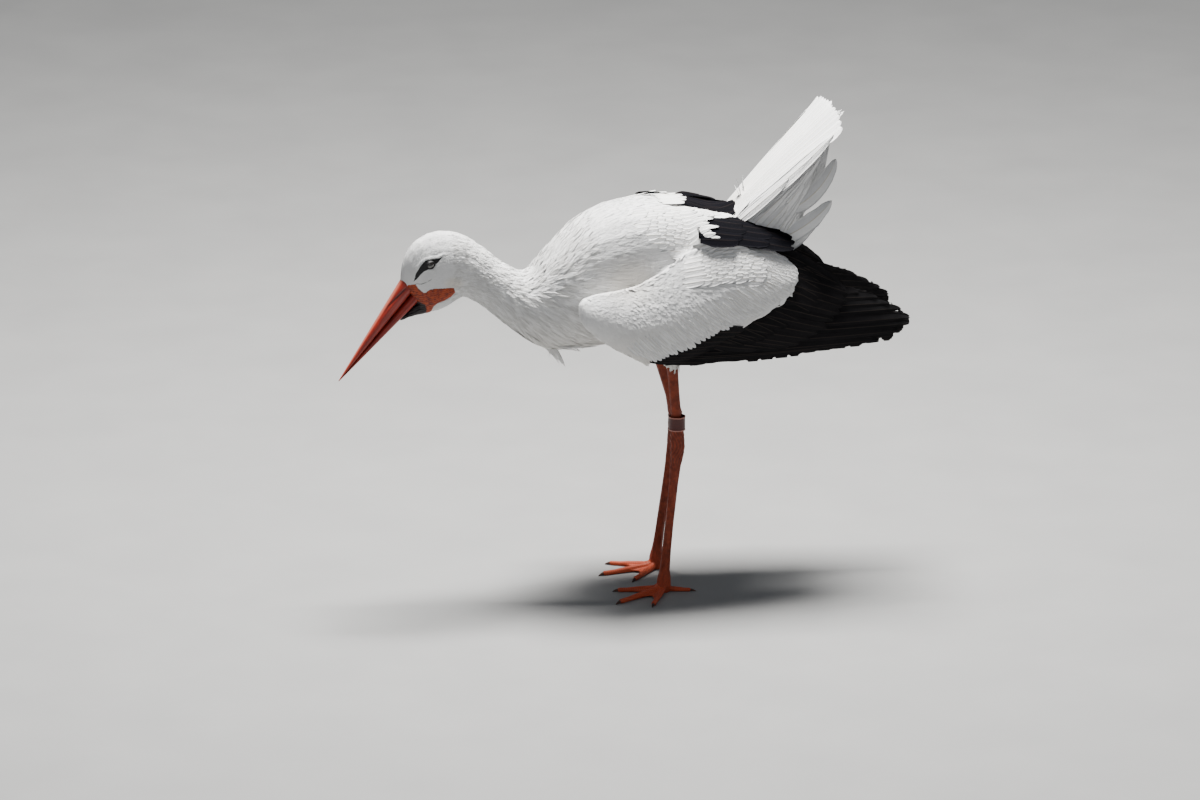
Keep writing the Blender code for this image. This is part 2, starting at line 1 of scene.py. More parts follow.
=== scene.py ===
"""The looks of a white stork that stands with its neck stretched forward, wings drooped and tail cocked.

One skin is grown over the solids of flesh and sunk by the depth of the coat. Small feathers are planted on it
and follow it in the lie of the plumage. Flight feathers, scapulars and tail feathers are single vanes, laid
over the wing's and the tail's own solids. Tables are in metres in the bird's own frame, where it faces -X,
its left side faces -Y and it stands on z = 0. ORIGIN takes them to the frame of the solids.
"""

from math import cos, pi, radians, sin

import bmesh
import bpy
import numpy as np
from mathutils import Matrix, Vector
from mathutils.bvhtree import BVHTree
from mathutils.kdtree import KDTree


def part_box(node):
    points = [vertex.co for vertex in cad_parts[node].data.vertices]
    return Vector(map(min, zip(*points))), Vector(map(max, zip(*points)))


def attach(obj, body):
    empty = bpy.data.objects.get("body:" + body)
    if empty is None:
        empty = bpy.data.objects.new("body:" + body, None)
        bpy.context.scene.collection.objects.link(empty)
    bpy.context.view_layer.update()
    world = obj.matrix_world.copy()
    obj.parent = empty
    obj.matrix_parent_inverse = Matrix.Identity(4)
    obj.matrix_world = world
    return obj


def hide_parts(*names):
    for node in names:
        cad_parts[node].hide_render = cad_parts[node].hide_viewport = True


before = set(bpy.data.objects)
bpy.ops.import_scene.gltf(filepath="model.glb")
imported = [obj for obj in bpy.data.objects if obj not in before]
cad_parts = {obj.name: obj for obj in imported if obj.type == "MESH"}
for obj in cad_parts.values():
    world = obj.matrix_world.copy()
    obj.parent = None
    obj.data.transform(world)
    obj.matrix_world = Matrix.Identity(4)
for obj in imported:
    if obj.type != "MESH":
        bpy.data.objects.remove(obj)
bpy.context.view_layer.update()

EYE = np.array((-0.3480, 0.0200, 0.5280))  # the right eye's centre; the left eye's is at -y
EYE_RADIUS = 0.0085
SIDES = {"left": -1.0, "right": 1.0}
TOES = ("outer", "middle", "inner", "hind")

eye_low, eye_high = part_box("eye_left")
ORIGIN = (np.array(eye_low) + np.array(eye_high)) / 2 - EYE * (1, -1, 1)


# Meshes.


def rows_of(items, name, width=3, kind=np.float32):
    """One property of all of a mesh's items, in a row for each."""
    values = np.empty(len(items) * width, kind)
    items.foreach_get(name, values)
    return values.reshape(-1, width)


def read(*nodes):
    """Points and triangles of CAD nodes in the bird's frame, with the doubled points joined."""
    all_points, all_faces, count = [], [], 0
    for node in nodes:
        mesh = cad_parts[node].data
        mesh.calc_loop_triangles()
        points = rows_of(mesh.vertices, "co").round(6)
        faces = rows_of(mesh.loop_triangles, "vertices", kind=np.int32)
        points, index = np.unique(points, axis=0, return_inverse=True)
        all_points.append(points - ORIGIN)
        all_faces.append(index.reshape(-1)[faces] + count)
        count += len(points)
    return np.concatenate(all_points), np.concatenate(all_faces)


def new_mesh(name, points, *faces):
    """A mesh from points in the bird's frame and arrays of faces, each with its own number of corners."""
    groups = [np.asarray(group, np.int32) for group in faces if len(group)]
    corners = np.concatenate([group.ravel() for group in groups])
    sizes = np.concatenate([np.full(len(group), group.shape[1]) for group in groups])
    starts = np.concatenate([[0], np.cumsum(sizes)[:-1]]).astype(np.int32)
    mesh = bpy.data.meshes.new(name)
    mesh.vertices.add(len(points))
    mesh.vertices.foreach_set("co", (points + ORIGIN).astype(np.float32).ravel())
    mesh.loops.add(len(corners))
    mesh.loops.foreach_set("vertex_index", corners)
    mesh.polygons.add(len(sizes))
    mesh.polygons.foreach_set("loop_start", starts)
    mesh.update(calc_edges=True)
    mesh.shade_smooth()
    return mesh


def add_map(mesh, places):
    """The UV map that a bake uses, from one place for each point."""
    corners = rows_of(mesh.loops, "vertex_index", 1, np.int32)[:, 0]
    layer = mesh.uv_layers.new(name="OFBake")
    layer.uv.foreach_set("vector", places[corners].astype(np.float32).ravel())


def add_values(mesh, name, values):
    """Four numbers for each point, which the materials read."""
    attribute = mesh.attributes.new(name, "FLOAT_COLOR", "POINT")
    attribute.data.foreach_set("color", values.astype(np.float32).ravel())


def show(name, mesh, slot, *materials, replaced=()):
    """Puts a mesh in the scene as a piece that rides on the bird."""
    piece = bpy.data.objects.new(name, mesh)
    bpy.context.scene.collection.objects.link(piece)
    for material in materials:
        mesh.materials.append(material)
    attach(piece, "root")
    if replaced:
        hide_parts(*replaced)
    return piece


def unit(vectors):
    return vectors / np.maximum(np.linalg.norm(vectors, axis=-1, keepdims=True), 1e-9)


def vertex_normals(points, faces):
    """Normals of the points, weighted by the area of the faces round each."""
    corners = points[faces]
    normals = np.cross(corners[:, 2] - corners[:, 0], corners[:, -1] - corners[:, 1])
    total = np.zeros_like(points)
    for column in range(faces.shape[1]):
        np.add.at(total, faces[:, column], normals)
    return unit(total)


def smoothed(points, faces, rounds, share=None):
    """Relaxed towards the neighbours and back again, so that the mesh keeps its size."""
    ends = np.concatenate([np.roll(faces, -1, axis=1).ravel(), faces.ravel()])
    starts = np.concatenate([faces.ravel(), np.roll(faces, -1, axis=1).ravel()])
    counts = np.maximum(np.bincount(starts, minlength=len(points)), 1)[:, None]
    for turn in range(2 * rounds):
        step = 0.52 if turn % 2 == 0 else -0.50
        total = np.stack([np.bincount(starts, points[ends, k], len(points)) for k in range(3)], axis=1)
        move = step * (total / counts - points)
        points = points + (move if share is None else move * share)
    return points


def fused(nodes, swell, voxel, extra=()):
    """One closed quad mesh round several nodes, swollen first so that the gaps between them close. extra is
    the points and quads of other closed meshes to take in."""
    all_points, all_faces, count = [], [], 0
    if extra:
        points, quads = extra
        all_points.append(points)
        all_faces.append(np.concatenate([quads[:, (0, 1, 2)], quads[:, (0, 2, 3)]]))
        count = len(points)
    for node in nodes:
        points, faces = read(node)
        all_points.append(points + vertex_normals(points, faces) * swell)
        all_faces.append(faces + count)
        count += len(points)
    source = new_mesh("fused", np.concatenate(all_points), np.concatenate(all_faces))
    holder = bpy.data.objects.new("fused", source)
    bpy.context.scene.collection.objects.link(holder)
    remesh = holder.modifiers.new("remesh", "REMESH")
    remesh.mode = "VOXEL"
    remesh.voxel_size = voxel
    shown = holder.evaluated_get(bpy.context.evaluated_depsgraph_get())
    mesh = shown.to_mesh()
    points = rows_of(mesh.vertices, "co") - ORIGIN
    quads = rows_of(mesh.loops, "vertex_index", 1, np.int32).reshape(-1, 4)
    shown.to_mesh_clear()
    bpy.data.objects.remove(holder)
    return points, quads


def tree_of(points, faces):
    return BVHTree.FromPolygons(points.tolist(), faces.tolist())


def grid_faces(rows, columns, closed=False):
    """Quads of a grid of points, row by row. A closed grid joins its last column to its first."""
    faces = []
    for i in range(rows - 1):
        for j in range(columns if closed else columns - 1):
            k = (j + 1) % columns
            faces.append((i * columns + j, i * columns + k, (i + 1) * columns + k, (i + 1) * columns + j))
    return np.array(faces)


def between(rows, place):
    """A row at a fractional place in a table, on a smooth curve through its rows."""
    rows = np.asarray(rows, float)
    place = min(max(place, 0.0), len(rows) - 1.0)
    i = min(int(place), len(rows) - 2)
    t = place - i
    a, b = rows[i], rows[i + 1]
    before = rows[i - 1] if i else 2 * a - b
    after = rows[i + 2] if i + 2 < len(rows) else 2 * b - a
    first, second = (b - before) / 2, (after - a) / 2
    return (
        (2 * t**3 - 3 * t**2 + 1) * a
        + (t**3 - 2 * t**2 + t) * first
        + (3 * t**2 - 2 * t**3) * b
        + (t**3 - t**2) * second
    )


def fade(value, start, end):
    """0 at start and 1 at end, with no corner."""
    t = np.clip((value - start) / (end - start), 0, 1)
    return t * t * (3 - 2 * t)


# The plumage. Each row is a place in side view (x, z), the lie of the feathers there (x, z), and a feather's
# length, its width and the depth of the coat, in millimetres.

BODY_LIE = [
    (-0.388, 0.512, 0.35, 0.94, 2.6, 0.9, 0.6),
    (-0.376, 0.502, 0.80, 0.60, 2.2, 0.8, 0.4),
    (-0.362, 0.508, 0.85, 0.50, 2.6, 0.9, 0.5),
    (-0.352, 0.495, 0.95, 0.30, 3.2, 1.0, 0.8),
    (-0.372, 0.548, 0.60, 0.80, 5.0, 1.2, 1.2),
    (-0.342, 0.545, 0.95, 0.20, 5.0, 1.2, 1.0),
    (-0.340, 0.568, 1.00, 0.10, 7.0, 1.5, 1.8),
    (-0.300, 0.565, 0.93, -0.35, 9.0, 1.8, 2.2),
    (-0.322, 0.530, 1.00, -0.05, 7.0, 1.4, 1.6),
    (-0.330, 0.500, 1.00, 0.00, 5.0, 1.2, 1.3),
    (-0.312, 0.478, 1.00, -0.05, 7.0, 1.4, 1.6),
    (-0.325, 0.456, 1.00, -0.10, 7.0, 1.3, 1.3),
    (-0.270, 0.530, 0.80, -0.60, 12.0, 2.0, 2.8),
    (-0.285, 0.475, 0.95, -0.30, 11.0, 1.8, 2.6),
    (-0.225, 0.505, 0.85, -0.50, 16.0, 2.4, 3.5),
    (-0.250, 0.450, 0.75, -0.66, 18.0, 2.2, 3.5),
    (-0.195, 0.500, 0.98, 0.15, 20.0, 3.2, 4.5),
    (-0.225, 0.420, 0.74, -0.67, 30.0, 2.6, 3.8),
    (-0.190, 0.450, 0.85, -0.52, 28.0, 3.0, 3.8),
    (-0.195, 0.398, 0.78, -0.62, 40.0, 3.4, 4.0),
    (-0.165, 0.385, 0.92, -0.38, 38.0, 3.8, 4.2),
    (-0.150, 0.540, 0.85, 0.50, 22.0, 5.0, 3.8),
    (-0.130, 0.450, 0.90, -0.42, 34.0, 4.6, 3.8),
    (-0.090, 0.588, 0.98, 0.20, 24.0, 7.0, 3.8),
    (-0.100, 0.520, 1.00, 0.05, 26.0, 6.5, 3.8),
    (0.000, 0.597, 1.00, 0.00, 28.0, 8.0, 3.8),
    (0.085, 0.575, 1.00, 0.10, 30.0, 7.5, 4.5),
    (0.130, 0.585, 0.73, 0.68, 42.0, 8.0, 3.5),
    (-0.120, 0.382, 1.00, -0.05, 32.0, 5.5, 5.0),
    (0.000, 0.388, 1.00, 0.00, 30.0, 7.0, 5.0),
    (0.030, 0.470, 1.00, 0.00, 28.0, 7.0, 5.0),
    (0.090, 0.425, 0.92, 0.38, 32.0, 7.0, 5.0),
    (0.125, 0.480, 0.68, 0.73, 38.0, 7.0, 5.0),
    (0.200, 0.560, 0.70, 0.72, 44.0, 7.0, 5.0),
    (0.245, 0.640, 0.62, 0.78, 34.0, 6.0, 3.5),
]
WING_LIE = [
    (-0.137, 0.470, 0.30, -0.95, 8.0, 5.0, 2.0),
    (-0.110, 0.487, 0.92, 0.10, 9.0, 5.5, 2.0),
    (-0.100, 0.425, 0.52, -0.86, 13.0, 6.5, 3.5),
    (-0.050, 0.455, 0.70, -0.70, 15.0, 8.0, 4.0),
    (-0.020, 0.508, 0.96, 0.20, 15.0, 8.0, 3.5),
    (0.020, 0.450, 0.75, -0.66, 19.0, 9.0, 4.0),
    (-0.020, 0.390, 0.60, -0.80, 21.0, 9.0, 4.0),
    (0.070, 0.410, 0.74, -0.68, 24.0, 9.5, 4.0),
    (0.080, 0.548, 1.00, -0.12, 21.0, 9.5, 3.5),
    (0.100, 0.480, 0.90, -0.42, 24.0, 10.0, 4.0),
    (0.150, 0.450, 0.86, -0.50, 27.0, 10.5, 3.5),
    (0.185, 0.500, 0.97, -0.24, 28.0, 10.5, 3.0),
]
THIGH_LIE = [
    (0.000, 0.430, 0.15, -0.99, 20.0, 4.0, 3.5),
    (0.012, 0.360, 0.05, -1.00, 15.0, 3.0, 2.5),
]


def lie_of(points, table):
    """Lie, length, width and depth at each point, blended from the rows of a table."""
    rows = np.array(table)
    gap = ((points[:, None, ::2] - rows[None, :, :2]) ** 2).sum(axis=2) + 1e-5
    weights = gap**-2
    weights /= weights.sum(axis=1, keepdims=True)
    mixed = weights @ rows[:, 2:]
    lie = unit(np.stack([mixed[:, 0], np.zeros(len(points)), mixed[:, 1]], axis=1))
    return lie, mixed[:, 2] / 1000, mixed[:, 3] / 1000, mixed[:, 4] / 1000


# What lies behind the wing's white coverts, in side view. No small white feather ends there.
PAST_COVERTS = [
    (-0.0320, 0.3000), (-0.0320, 0.3800), (0.0000, 0.3895), (0.0310, 0.4000), (0.0602, 0.4150),
    (0.0860, 0.4250), (0.1370, 0.4420), (0.1490, 0.4540), (0.1765, 0.4650), (0.1890, 0.4785),
    (0.1925, 0.4990), (0.1700, 0.5165), (0.1375, 0.5330), (0.1000, 0.5480), (0.0700, 0.5680),
    (0.0700, 0.7500), (0.5000, 0.7500), (0.5000, 0.3000),
]

# Markings of the face, as outlines in side view.

EYE_PATCH = [
    (-0.3734, 0.5010), (-0.3704, 0.5142), (-0.3660, 0.5228), (-0.3606, 0.5310), (-0.3544, 0.5353),
    (-0.3468, 0.5370), (-0.3383, 0.5373), (-0.3285, 0.5414), (-0.3360, 0.5330), (-0.3405, 0.5280),
    (-0.3466, 0.5240), (-0.3527, 0.5208), (-0.3587, 0.5178), (-0.3638, 0.5129), (-0.3675, 0.5072),
]
GAPE_LINE = [(-0.3470, 0.5064), (-0.3538, 0.5021), (-0.3614, 0.4989), (-0.3690, 0.4985)]
GULAR = [
    (-0.3800, 0.4960), (-0.3700, 0.4985), (-0.3655, 0.4915), (-0.3577, 0.4845), (-0.3504, 0.4897),
    (-0.3411, 0.4915), (-0.3224, 0.4910), (-0.3125, 0.4900), (-0.3098, 0.4812), (-0.3156, 0.4740),
    (-0.3258, 0.4685), (-0.3360, 0.4650), (-0.3411, 0.4600), (-0.3440, 0.4400), (-0.4000, 0.4300),
]
POUCH = [
    (-0.3640, 0.4690), (-0.3540, 0.4640), (-0.3512, 0.4560), (-0.3505, 0.4400), (-0.4000, 0.4300),
    (-0.4000, 0.4500),
]


def line_gap(points, line):
    """Distance in side view to a line through several places."""
    x, z = points[:, 0], points[:, 2]
    nearest = np.full(len(points), 1.0)
    for (ax, az), (bx, bz) in zip(line, line[1:]):
        dx, dz = bx - ax, bz - az
        t = np.clip(((x - ax) * dx + (z - az) * dz) / (dx * dx + dz * dz), 0, 1)
        nearest = np.minimum(nearest, np.hypot(x - ax - t * dx, z - az - t * dz))
    return nearest


def outline_gap(points, outline):
    """Distance in side view to a closed outline, less than nothing inside it."""
    x, z = points[:, 0], points[:, 2]
    closed = outline + outline[:1]
    inside = np.zeros(len(points), bool)
    for (ax, az), (bx, bz) in zip(closed, closed[1:]):
        if az != bz:
            inside ^= ((az > z) != (bz > z)) & (x < ax + (z - az) * (bx - ax) / (bz - az))
    nearest = line_gap(points, closed)
    return np.where(inside, -nearest, nearest)


def markings(points):
    """Each point's share of the black eye patch with the painted shadow at the gape, the red gular skin, the
    black pouch, and the warm tinge: real on the cheek, and a stain mixed with painted shade low on the body
    and in the armpit's hollow.
    """
    face = points[:, 0] < -0.300
    patch = 1 - fade(outline_gap(points, EYE_PATCH), -0.0002, 0.0006)
    # Painted shadow: a thin dark line for the parting of the feathers at the gape, which takes the eye
    # patch's black.
    gape_shadow = 0.9 * (1 - fade(line_gap(points, GAPE_LINE), 0.0004, 0.0013))
    gular = 1 - fade(outline_gap(points, GULAR), -0.0006, 0.0006)
    pouch = 1 - fade(outline_gap(points, POUCH), -0.0010, 0.0010)
    x, z = points[:, 0], points[:, 2]
    # Painted shade with some stain: the lower body is tinged darker and warmer, for the shade under it and
    # the light bounced up from below.
    low = fade(z, 0.47, 0.38) * fade(x, -0.27, -0.20) * fade(x, 0.20, 0.10)
    cheek = 1 - fade(np.hypot((x + 0.318) / 1.4, z - 0.497), 0.004, 0.014)
    blush = 1 - fade(np.hypot(x + 0.3096, z - 0.4985), 0.002, 0.009)
    # Painted shade with some stain: a darker warm patch in the hollow between the wing's front and the body.
    armpit_stain_and_shade = 1 - fade(np.hypot(x + 0.075, (z - 0.50) / 0.7), 0.010, 0.060)
    stain_and_shade = np.clip(0.55 * low + 0.5 * armpit_stain_and_shade * (z < 0.56) + 0.75 * cheek * face, 0, 1)
    red = np.maximum(gular, 0.30 * blush)
    return np.stack([np.maximum(patch, gape_shadow) * face, red * face, pouch * face, stain_and_shade], axis=1)


# Materials.


class Graph:
    """A material whose nodes are added one by one."""

    def __init__(self, name, **values):
        self.material = bpy.data.materials.new(name)
        self.material.use_nodes = True
        self.tree = self.material.node_tree
        self.shader = self.tree.nodes["Principled BSDF"]
        for socket, value in values.items():
            self.shader.inputs[socket.replace("_", " ")].default_value = value

    def add(self, kind, inputs=(), **settings):
        node = self.tree.nodes.new(kind)
        for key, value in settings.items():
            setattr(node, key, value)
        for key, value in dict(inputs).items():
            if isinstance(value, bpy.types.NodeSocket):
                self.tree.links.new(value, node.inputs[key])
            else:
                node.inputs[key].default_value = value
        return node

    def calc(self, operation, a, b=0.0):
        return self.add("ShaderNodeMath", {0: a, 1: b}, operation=operation).outputs[0]

    def times(self, a, b):
        return self.calc("MULTIPLY", a, b)

    def plus(self, a, b):
        return self.calc("ADD", a, b)

    def larger(self, a, b):
        return self.calc("MAXIMUM", a, b)

    def place(self, stretch=(1, 1, 1), turn=(0, 0, 0)):
        """The place on the object, stretched."""
        point = self.add("ShaderNodeTexCoord").outputs["Object"]
        inputs = {"Vector": point, "Rotation": turn, "Scale": stretch}
        return self.add("ShaderNodeMapping", inputs).outputs[0]

    def noise(self, scale, vector=None, detail=3.0, roughness=0.55):
        inputs = {"Scale": scale, "Detail": detail, "Roughness": roughness, "Vector": vector or self.place()}
        return self.add("ShaderNodeTexNoise", inputs).outputs[0]

    def noise_over(self, u, v, detail=3.0):
        """Noise over two numbers that follow the surface."""
        return self.noise(1.0, self.add("ShaderNodeCombineXYZ", {0: u, 1: v}).outputs[0], detail)

    def cells(self, scale):
        inputs = {"Scale": scale, "Vector": self.place()}
        return self.add("ShaderNodeTexVoronoi", inputs).outputs["Distance"]

    def ramp(self, value, low, high, start=0.0, end=1.0):
        inputs = {"Value": value, "From Min": low, "From Max": high, "To Min": start, "To Max": end}
        return self.add("ShaderNodeMapRange", inputs).outputs[0]

    def mix(self, factor, a, b):
        node = self.add("ShaderNodeMix", data_type="RGBA")
        for key, value in ((0, factor), (6, a), (7, b)):
            if isinstance(value, bpy.types.NodeSocket):
                self.tree.links.new(value, node.inputs[key])
            elif key:
                node.inputs[key].default_value = (*value, 1.0)
            else:
                node.inputs[key].default_value = value
        return node.outputs[2]

    def values(self, name):
        """The four numbers of an attribute."""
        node = self.add("ShaderNodeAttribute", attribute_name=name)
        parts = self.add("ShaderNodeSeparateColor", {0: node.outputs["Color"]}).outputs
        return parts[0], parts[1], parts[2], node.outputs["Alpha"]

    def bump(self, height, distance, strength):
        inputs = {"Height": height, "Distance": distance, "Strength": strength}
        return self.add("ShaderNodeBump", inputs).outputs[0]

    def finish(self, colour, roughness, normal=None):
        for key, value in (("Base Color", colour), ("Roughness", roughness), ("Normal", normal)):
            if value is not None:
                self.tree.links.new(value, self.shader.inputs[key])
        return self.material


WHITE = (0.84, 0.84, 0.835)
SHADE = (0.70, 0.70, 0.70)
LOCK_SHADE = (0.50, 0.49, 0.46)
# A cream tone, for real stains and for the shade painted low on the body and in the armpit's hollow.
CREAM_STAIN_AND_SHADE = (0.70, 0.62, 0.49)
PATCH_BLACK = (0.010, 0.009, 0.010)
GULAR_RED = (0.36, 0.050, 0.009)
GULAR_DARK = (0.14, 0.018, 0.008)
POUCH_BLACK = (0.012, 0.007, 0.008)
# The two colours of a black feather's web, and every kind's fringe and shaft. The flight feathers' black is
# kept lighter as a painted sheen; the scapulars' copy is darker, painted shade that offsets the key lamp
# falling full on them.
BLACK = ((0.0050, 0.0048, 0.0056), (0.0110, 0.0100, 0.0110))
SHADED_BLACK = ((0.0013, 0.0013, 0.0022), (0.0030, 0.0029, 0.0044))
WHITE_TRIM = ((0.72, 0.71, 0.69), (0.62, 0.58, 0.50))
BLACK_TRIM = ((0.015, 0.013, 0.014), (0.026, 0.021, 0.019))
SHADED_BLACK_TRIM = ((0.004, 0.004, 0.005), (0.008, 0.006, 0.006))
BARB_GAP = 0.0011  # from one barb of a large feather to the next


def plumage_colour(graph, marks, spread):
    """White, with a cream tinge where the bird is stained and where shade is painted low on the body and in
    the armpit's hollow. spread varies it from place to place.
    """
    dark, red, black, stain_and_shade = marks
    clean = graph.mix(spread, WHITE, SHADE)
    stained_and_shaded = graph.mix(graph.times(stain_and_shade, 0.55), clean, CREAM_STAIN_AND_SHADE)
    return stained_and_shaded, dark, red, black


def make_skin_material():
    graph = Graph("skin", Specular_IOR_Level=0.35)
    marks = graph.values("marks")
    patches = graph.noise(260)
    colour, dark, red, black = plumage_colour(graph, marks, graph.ramp(patches, 0.3, 0.7))
    flush = graph.mix(graph.ramp(graph.noise(190, detail=5), 0.40, 0.62), GULAR_RED, GULAR_DARK)
    colour = graph.mix(red, colour, flush)
    colour = graph.mix(black, colour, POUCH_BLACK)
    colour = graph.mix(dark, colour, PATCH_BLACK)
    bare = graph.larger(graph.larger(dark, red), black)
    rough = graph.ramp(bare, 0, 1, 0.75, 0.46)
    grain = graph.cells(1500)
    folds = graph.noise(300, graph.place((1, 1, 3.5), (0, radians(35), 0)))
    height = graph.plus(graph.times(grain, 0.5), folds)
    return graph.finish(colour, rough, graph.bump(height, 0.0006, 0.8))


def make_coat_material():
    """Small white feathers. tuft holds a random number, the place along the feather, the place across it, and
    whether its locks carry painted shadow."""
    graph = Graph("white_plumage", Specular_IOR_Level=0.25, Sheen_Weight=0.25, Sheen_Roughness=0.5)
    chance, along, across, shades_locks = graph.values("tuft")
    spread = graph.times(graph.ramp(graph.noise(70), 0.35, 0.7), 0.35)
    spread = graph.plus(spread, graph.times(chance, 0.40))
    colour, dark, red, black = plumage_colour(graph, graph.values("marks"), spread)
    # Painted shadow: some locks are greyed, standing in for the shade between the locks.
    lock_shadow = graph.times(shades_locks, graph.ramp(chance, 0.45, 0.85, 0.0, 0.55))
    colour = graph.mix(lock_shadow, colour, LOCK_SHADE)
    # Painted shade: each small feather greys towards its root, where the feathers over it shade it.
    root = graph.ramp(along, 0.0, 0.55, 0.50, 0.0)
    colour = graph.mix(graph.times(root, 0.35), colour, SHADE)
    colour = graph.mix(graph.times(red, 0.5), colour, GULAR_RED)
    colour = graph.mix(graph.larger(dark, black), colour, PATCH_BLACK)
    barbs = graph.calc("SINE", graph.times(across, 22.0))
    rough = graph.ramp(chance, 0, 1, 0.62, 0.80)
    return graph.finish(colour, rough, graph.bump(barbs, 0.0003, 0.35))


def make_vane_material(name, web, edge, shaft, specular, roughness):
    """A large feather. vane holds the place across it (-1 to 1), the place along it (0 to 1), its length and
    a random number. web is the two colours of its vane, and edge and shaft are the fringe's and shaft's."""
    graph = Graph(name, Specular_IOR_Level=specular)
    across, along, length, chance = graph.values("vane")
    side = graph.calc("ABSOLUTE", across)
    metres = graph.times(along, length)
    slant = graph.plus(metres, graph.times(side, -0.012))
    wobble = graph.times(graph.noise(140), 0.0035)
    barbs = graph.calc("SINE", graph.times(graph.plus(slant, wobble), 2 * pi / BARB_GAP))
    streaks = graph.noise_over(graph.times(slant, 420.0), chance)
    tone = graph.plus(graph.times(graph.noise(45), 0.5), graph.times(streaks, 0.5))
    tone = graph.plus(tone, graph.times(graph.calc("SUBTRACT", chance, 0.5), 0.5))
    colour = graph.mix(graph.ramp(tone, 0.3, 0.75), web[0], web[1])
    fringe = graph.ramp(side, 0.80, 1.0)
    colour = graph.mix(graph.times(fringe, 0.6), colour, edge)
    rib = graph.ramp(side, 0.035, 0.075, 1.0, 0.0)
    rib = graph.times(rib, graph.ramp(along, 0.97, 0.80))
    colour = graph.mix(rib, colour, shaft)
    rough = graph.ramp(tone, 0.3, 0.7, roughness - 0.05, roughness + 0.12)
    height = graph.times(barbs, graph.ramp(rib, 0, 1, 1, 0))
    return graph.finish(colour, rough, graph.bump(height, 0.0002, 0.45))


def make_bill_material():
    """Red horn. horn holds the place along the bill and down its side, and how near the nostril's groove and
    the mandible's edge are."""
    graph = Graph("bill_horn", Specular_IOR_Level=0.5, Coat_Weight=0.10, Coat_Roughness=0.30)
    along, down, groove, edge = graph.values("horn")
    grain = graph.noise_over(graph.times(down, 24.0), graph.times(along, 3.0), detail=4)
    blotch = graph.noise(1.0, graph.place((60, 60, 60)))
    tone = graph.plus(graph.times(grain, 0.6), graph.times(blotch, 0.4))
    colour = graph.mix(graph.ramp(tone, 0.36, 0.64), (0.33, 0.024, 0.010), (0.16, 0.010, 0.006))
    colour = graph.mix(graph.ramp(along, 0.55, 1.0, 0.0, 0.30), colour, (0.40, 0.055, 0.022))
    # Painted highlight: the top ridge is paler pink, for the sky's reflection on the glossy horn.
    colour = graph.mix(graph.ramp(down, 0.10, 0.0, 0.0, 0.45), colour, (0.60, 0.22, 0.15))
    # Painted shadow: the nostril's groove and slit are near black.
    colour = graph.mix(graph.times(groove, 0.85), colour, (0.03, 0.006, 0.005))
    colour = graph.mix(graph.times(edge, 0.6), colour, (0.08, 0.012, 0.008))
    rough = graph.ramp(tone, 0.3, 0.7, 0.30, 0.46)
    return graph.finish(colour, rough, graph.bump(grain, 0.0005, 0.5))


def make_leg_material():
    """Scaly red skin. scute holds how deep a point lies between the scales, a random number, how near the
    toes it is, and the wrinkles' grooves."""
    graph = Graph("leg_skin", Specular_IOR_Level=0.28)
    seam, chance, toe, groove = graph.values("scute")
    blotch = graph.noise(110, detail=4)
    tone = graph.plus(graph.times(blotch, 0.84), graph.times(chance, 0.16))
    colour = graph.mix(graph.ramp(tone, 0.3, 0.7), (0.25, 0.036, 0.010), (0.115, 0.017, 0.006))
    colour = graph.mix(graph.times(toe, 0.85), colour, (0.56, 0.090, 0.036))
    colour = graph.mix(graph.times(seam, 0.50), colour, (0.14, 0.028, 0.014))
    # Painted shade: the troughs of the ankle's wrinkles are near black.
    colour = graph.mix(graph.times(groove, 0.60), colour, (0.05, 0.008, 0.005))
    fine = graph.cells(900)
    rough = graph.ramp(tone, 0.3, 0.7, 0.50, 0.66)
    return graph.finish(colour, rough, graph.bump(fine, 0.0004, 0.5))


def make_ring_material():
    """Dark scuffed plastic, with a painted highlight on the rims that the scuffs break up. band holds whether
    a point is on a rim, its turn and height.
    """
    graph = Graph("ring_plastic", Specular_IOR_Level=0.4)
    rim, turn, height, _ = graph.values("band")
    scuffs = graph.noise_over(graph.times(turn, 9.0), graph.times(height, 30.0), detail=5)
    colour = graph.mix(graph.ramp(scuffs, 0.40, 0.75), (0.050, 0.006, 0.005), (0.095, 0.018, 0.013))
    # Painted highlight: the rims are pale, broken up where the plastic is scuffed.
    rim_highlight = graph.times(rim, graph.ramp(scuffs, 0.2, 0.6, 1.0, 0.75))
    colour = graph.mix(rim_highlight, colour, (0.45, 0.19, 0.15))
    return graph.finish(colour, graph.ramp(scuffs, 0.3, 0.7, 0.38, 0.55), graph.bump(scuffs, 0.0002, 0.4))


def make_claw_material():
    graph = Graph("claw_horn", Specular_IOR_Level=0.3)
    grain = graph.noise(160, graph.place((1, 1, 0.4)))
    colour = graph.mix(graph.ramp(grain, 0.35, 0.65), (0.11, 0.050, 0.035), (0.035, 0.018, 0.014))
    return graph.finish(colour, graph.ramp(grain, 0, 1, 0.45, 0.6), graph.bump(grain, 0.0002, 0.3))


def make_eye_material():
    """A dark iris round a black pupil, wet all over. ball holds how far out a point is, and its turn."""
    graph = Graph("eye_dark", Specular_IOR_Level=0.6, Coat_Weight=1.0, Coat_Roughness=0.03)
    out, turn, _, _ = graph.values("ball")
    rays = graph.noise_over(graph.times(turn, 60.0), graph.times(out, 3.0))
    iris = graph.mix(graph.ramp(rays, 0.35, 0.65), (0.018, 0.009, 0.005), (0.008, 0.005, 0.003))
    colour = graph.mix(graph.ramp(out, 0.46, 0.52, 1.0, 0.0), iris, (0.002, 0.002, 0.002))
    colour = graph.mix(graph.ramp(out, 0.84, 0.98), colour, (0.008, 0.006, 0.006))
    return graph.finish(colour, graph.ramp(rays, 0, 1, 0.06, 0.12))


# The skin.

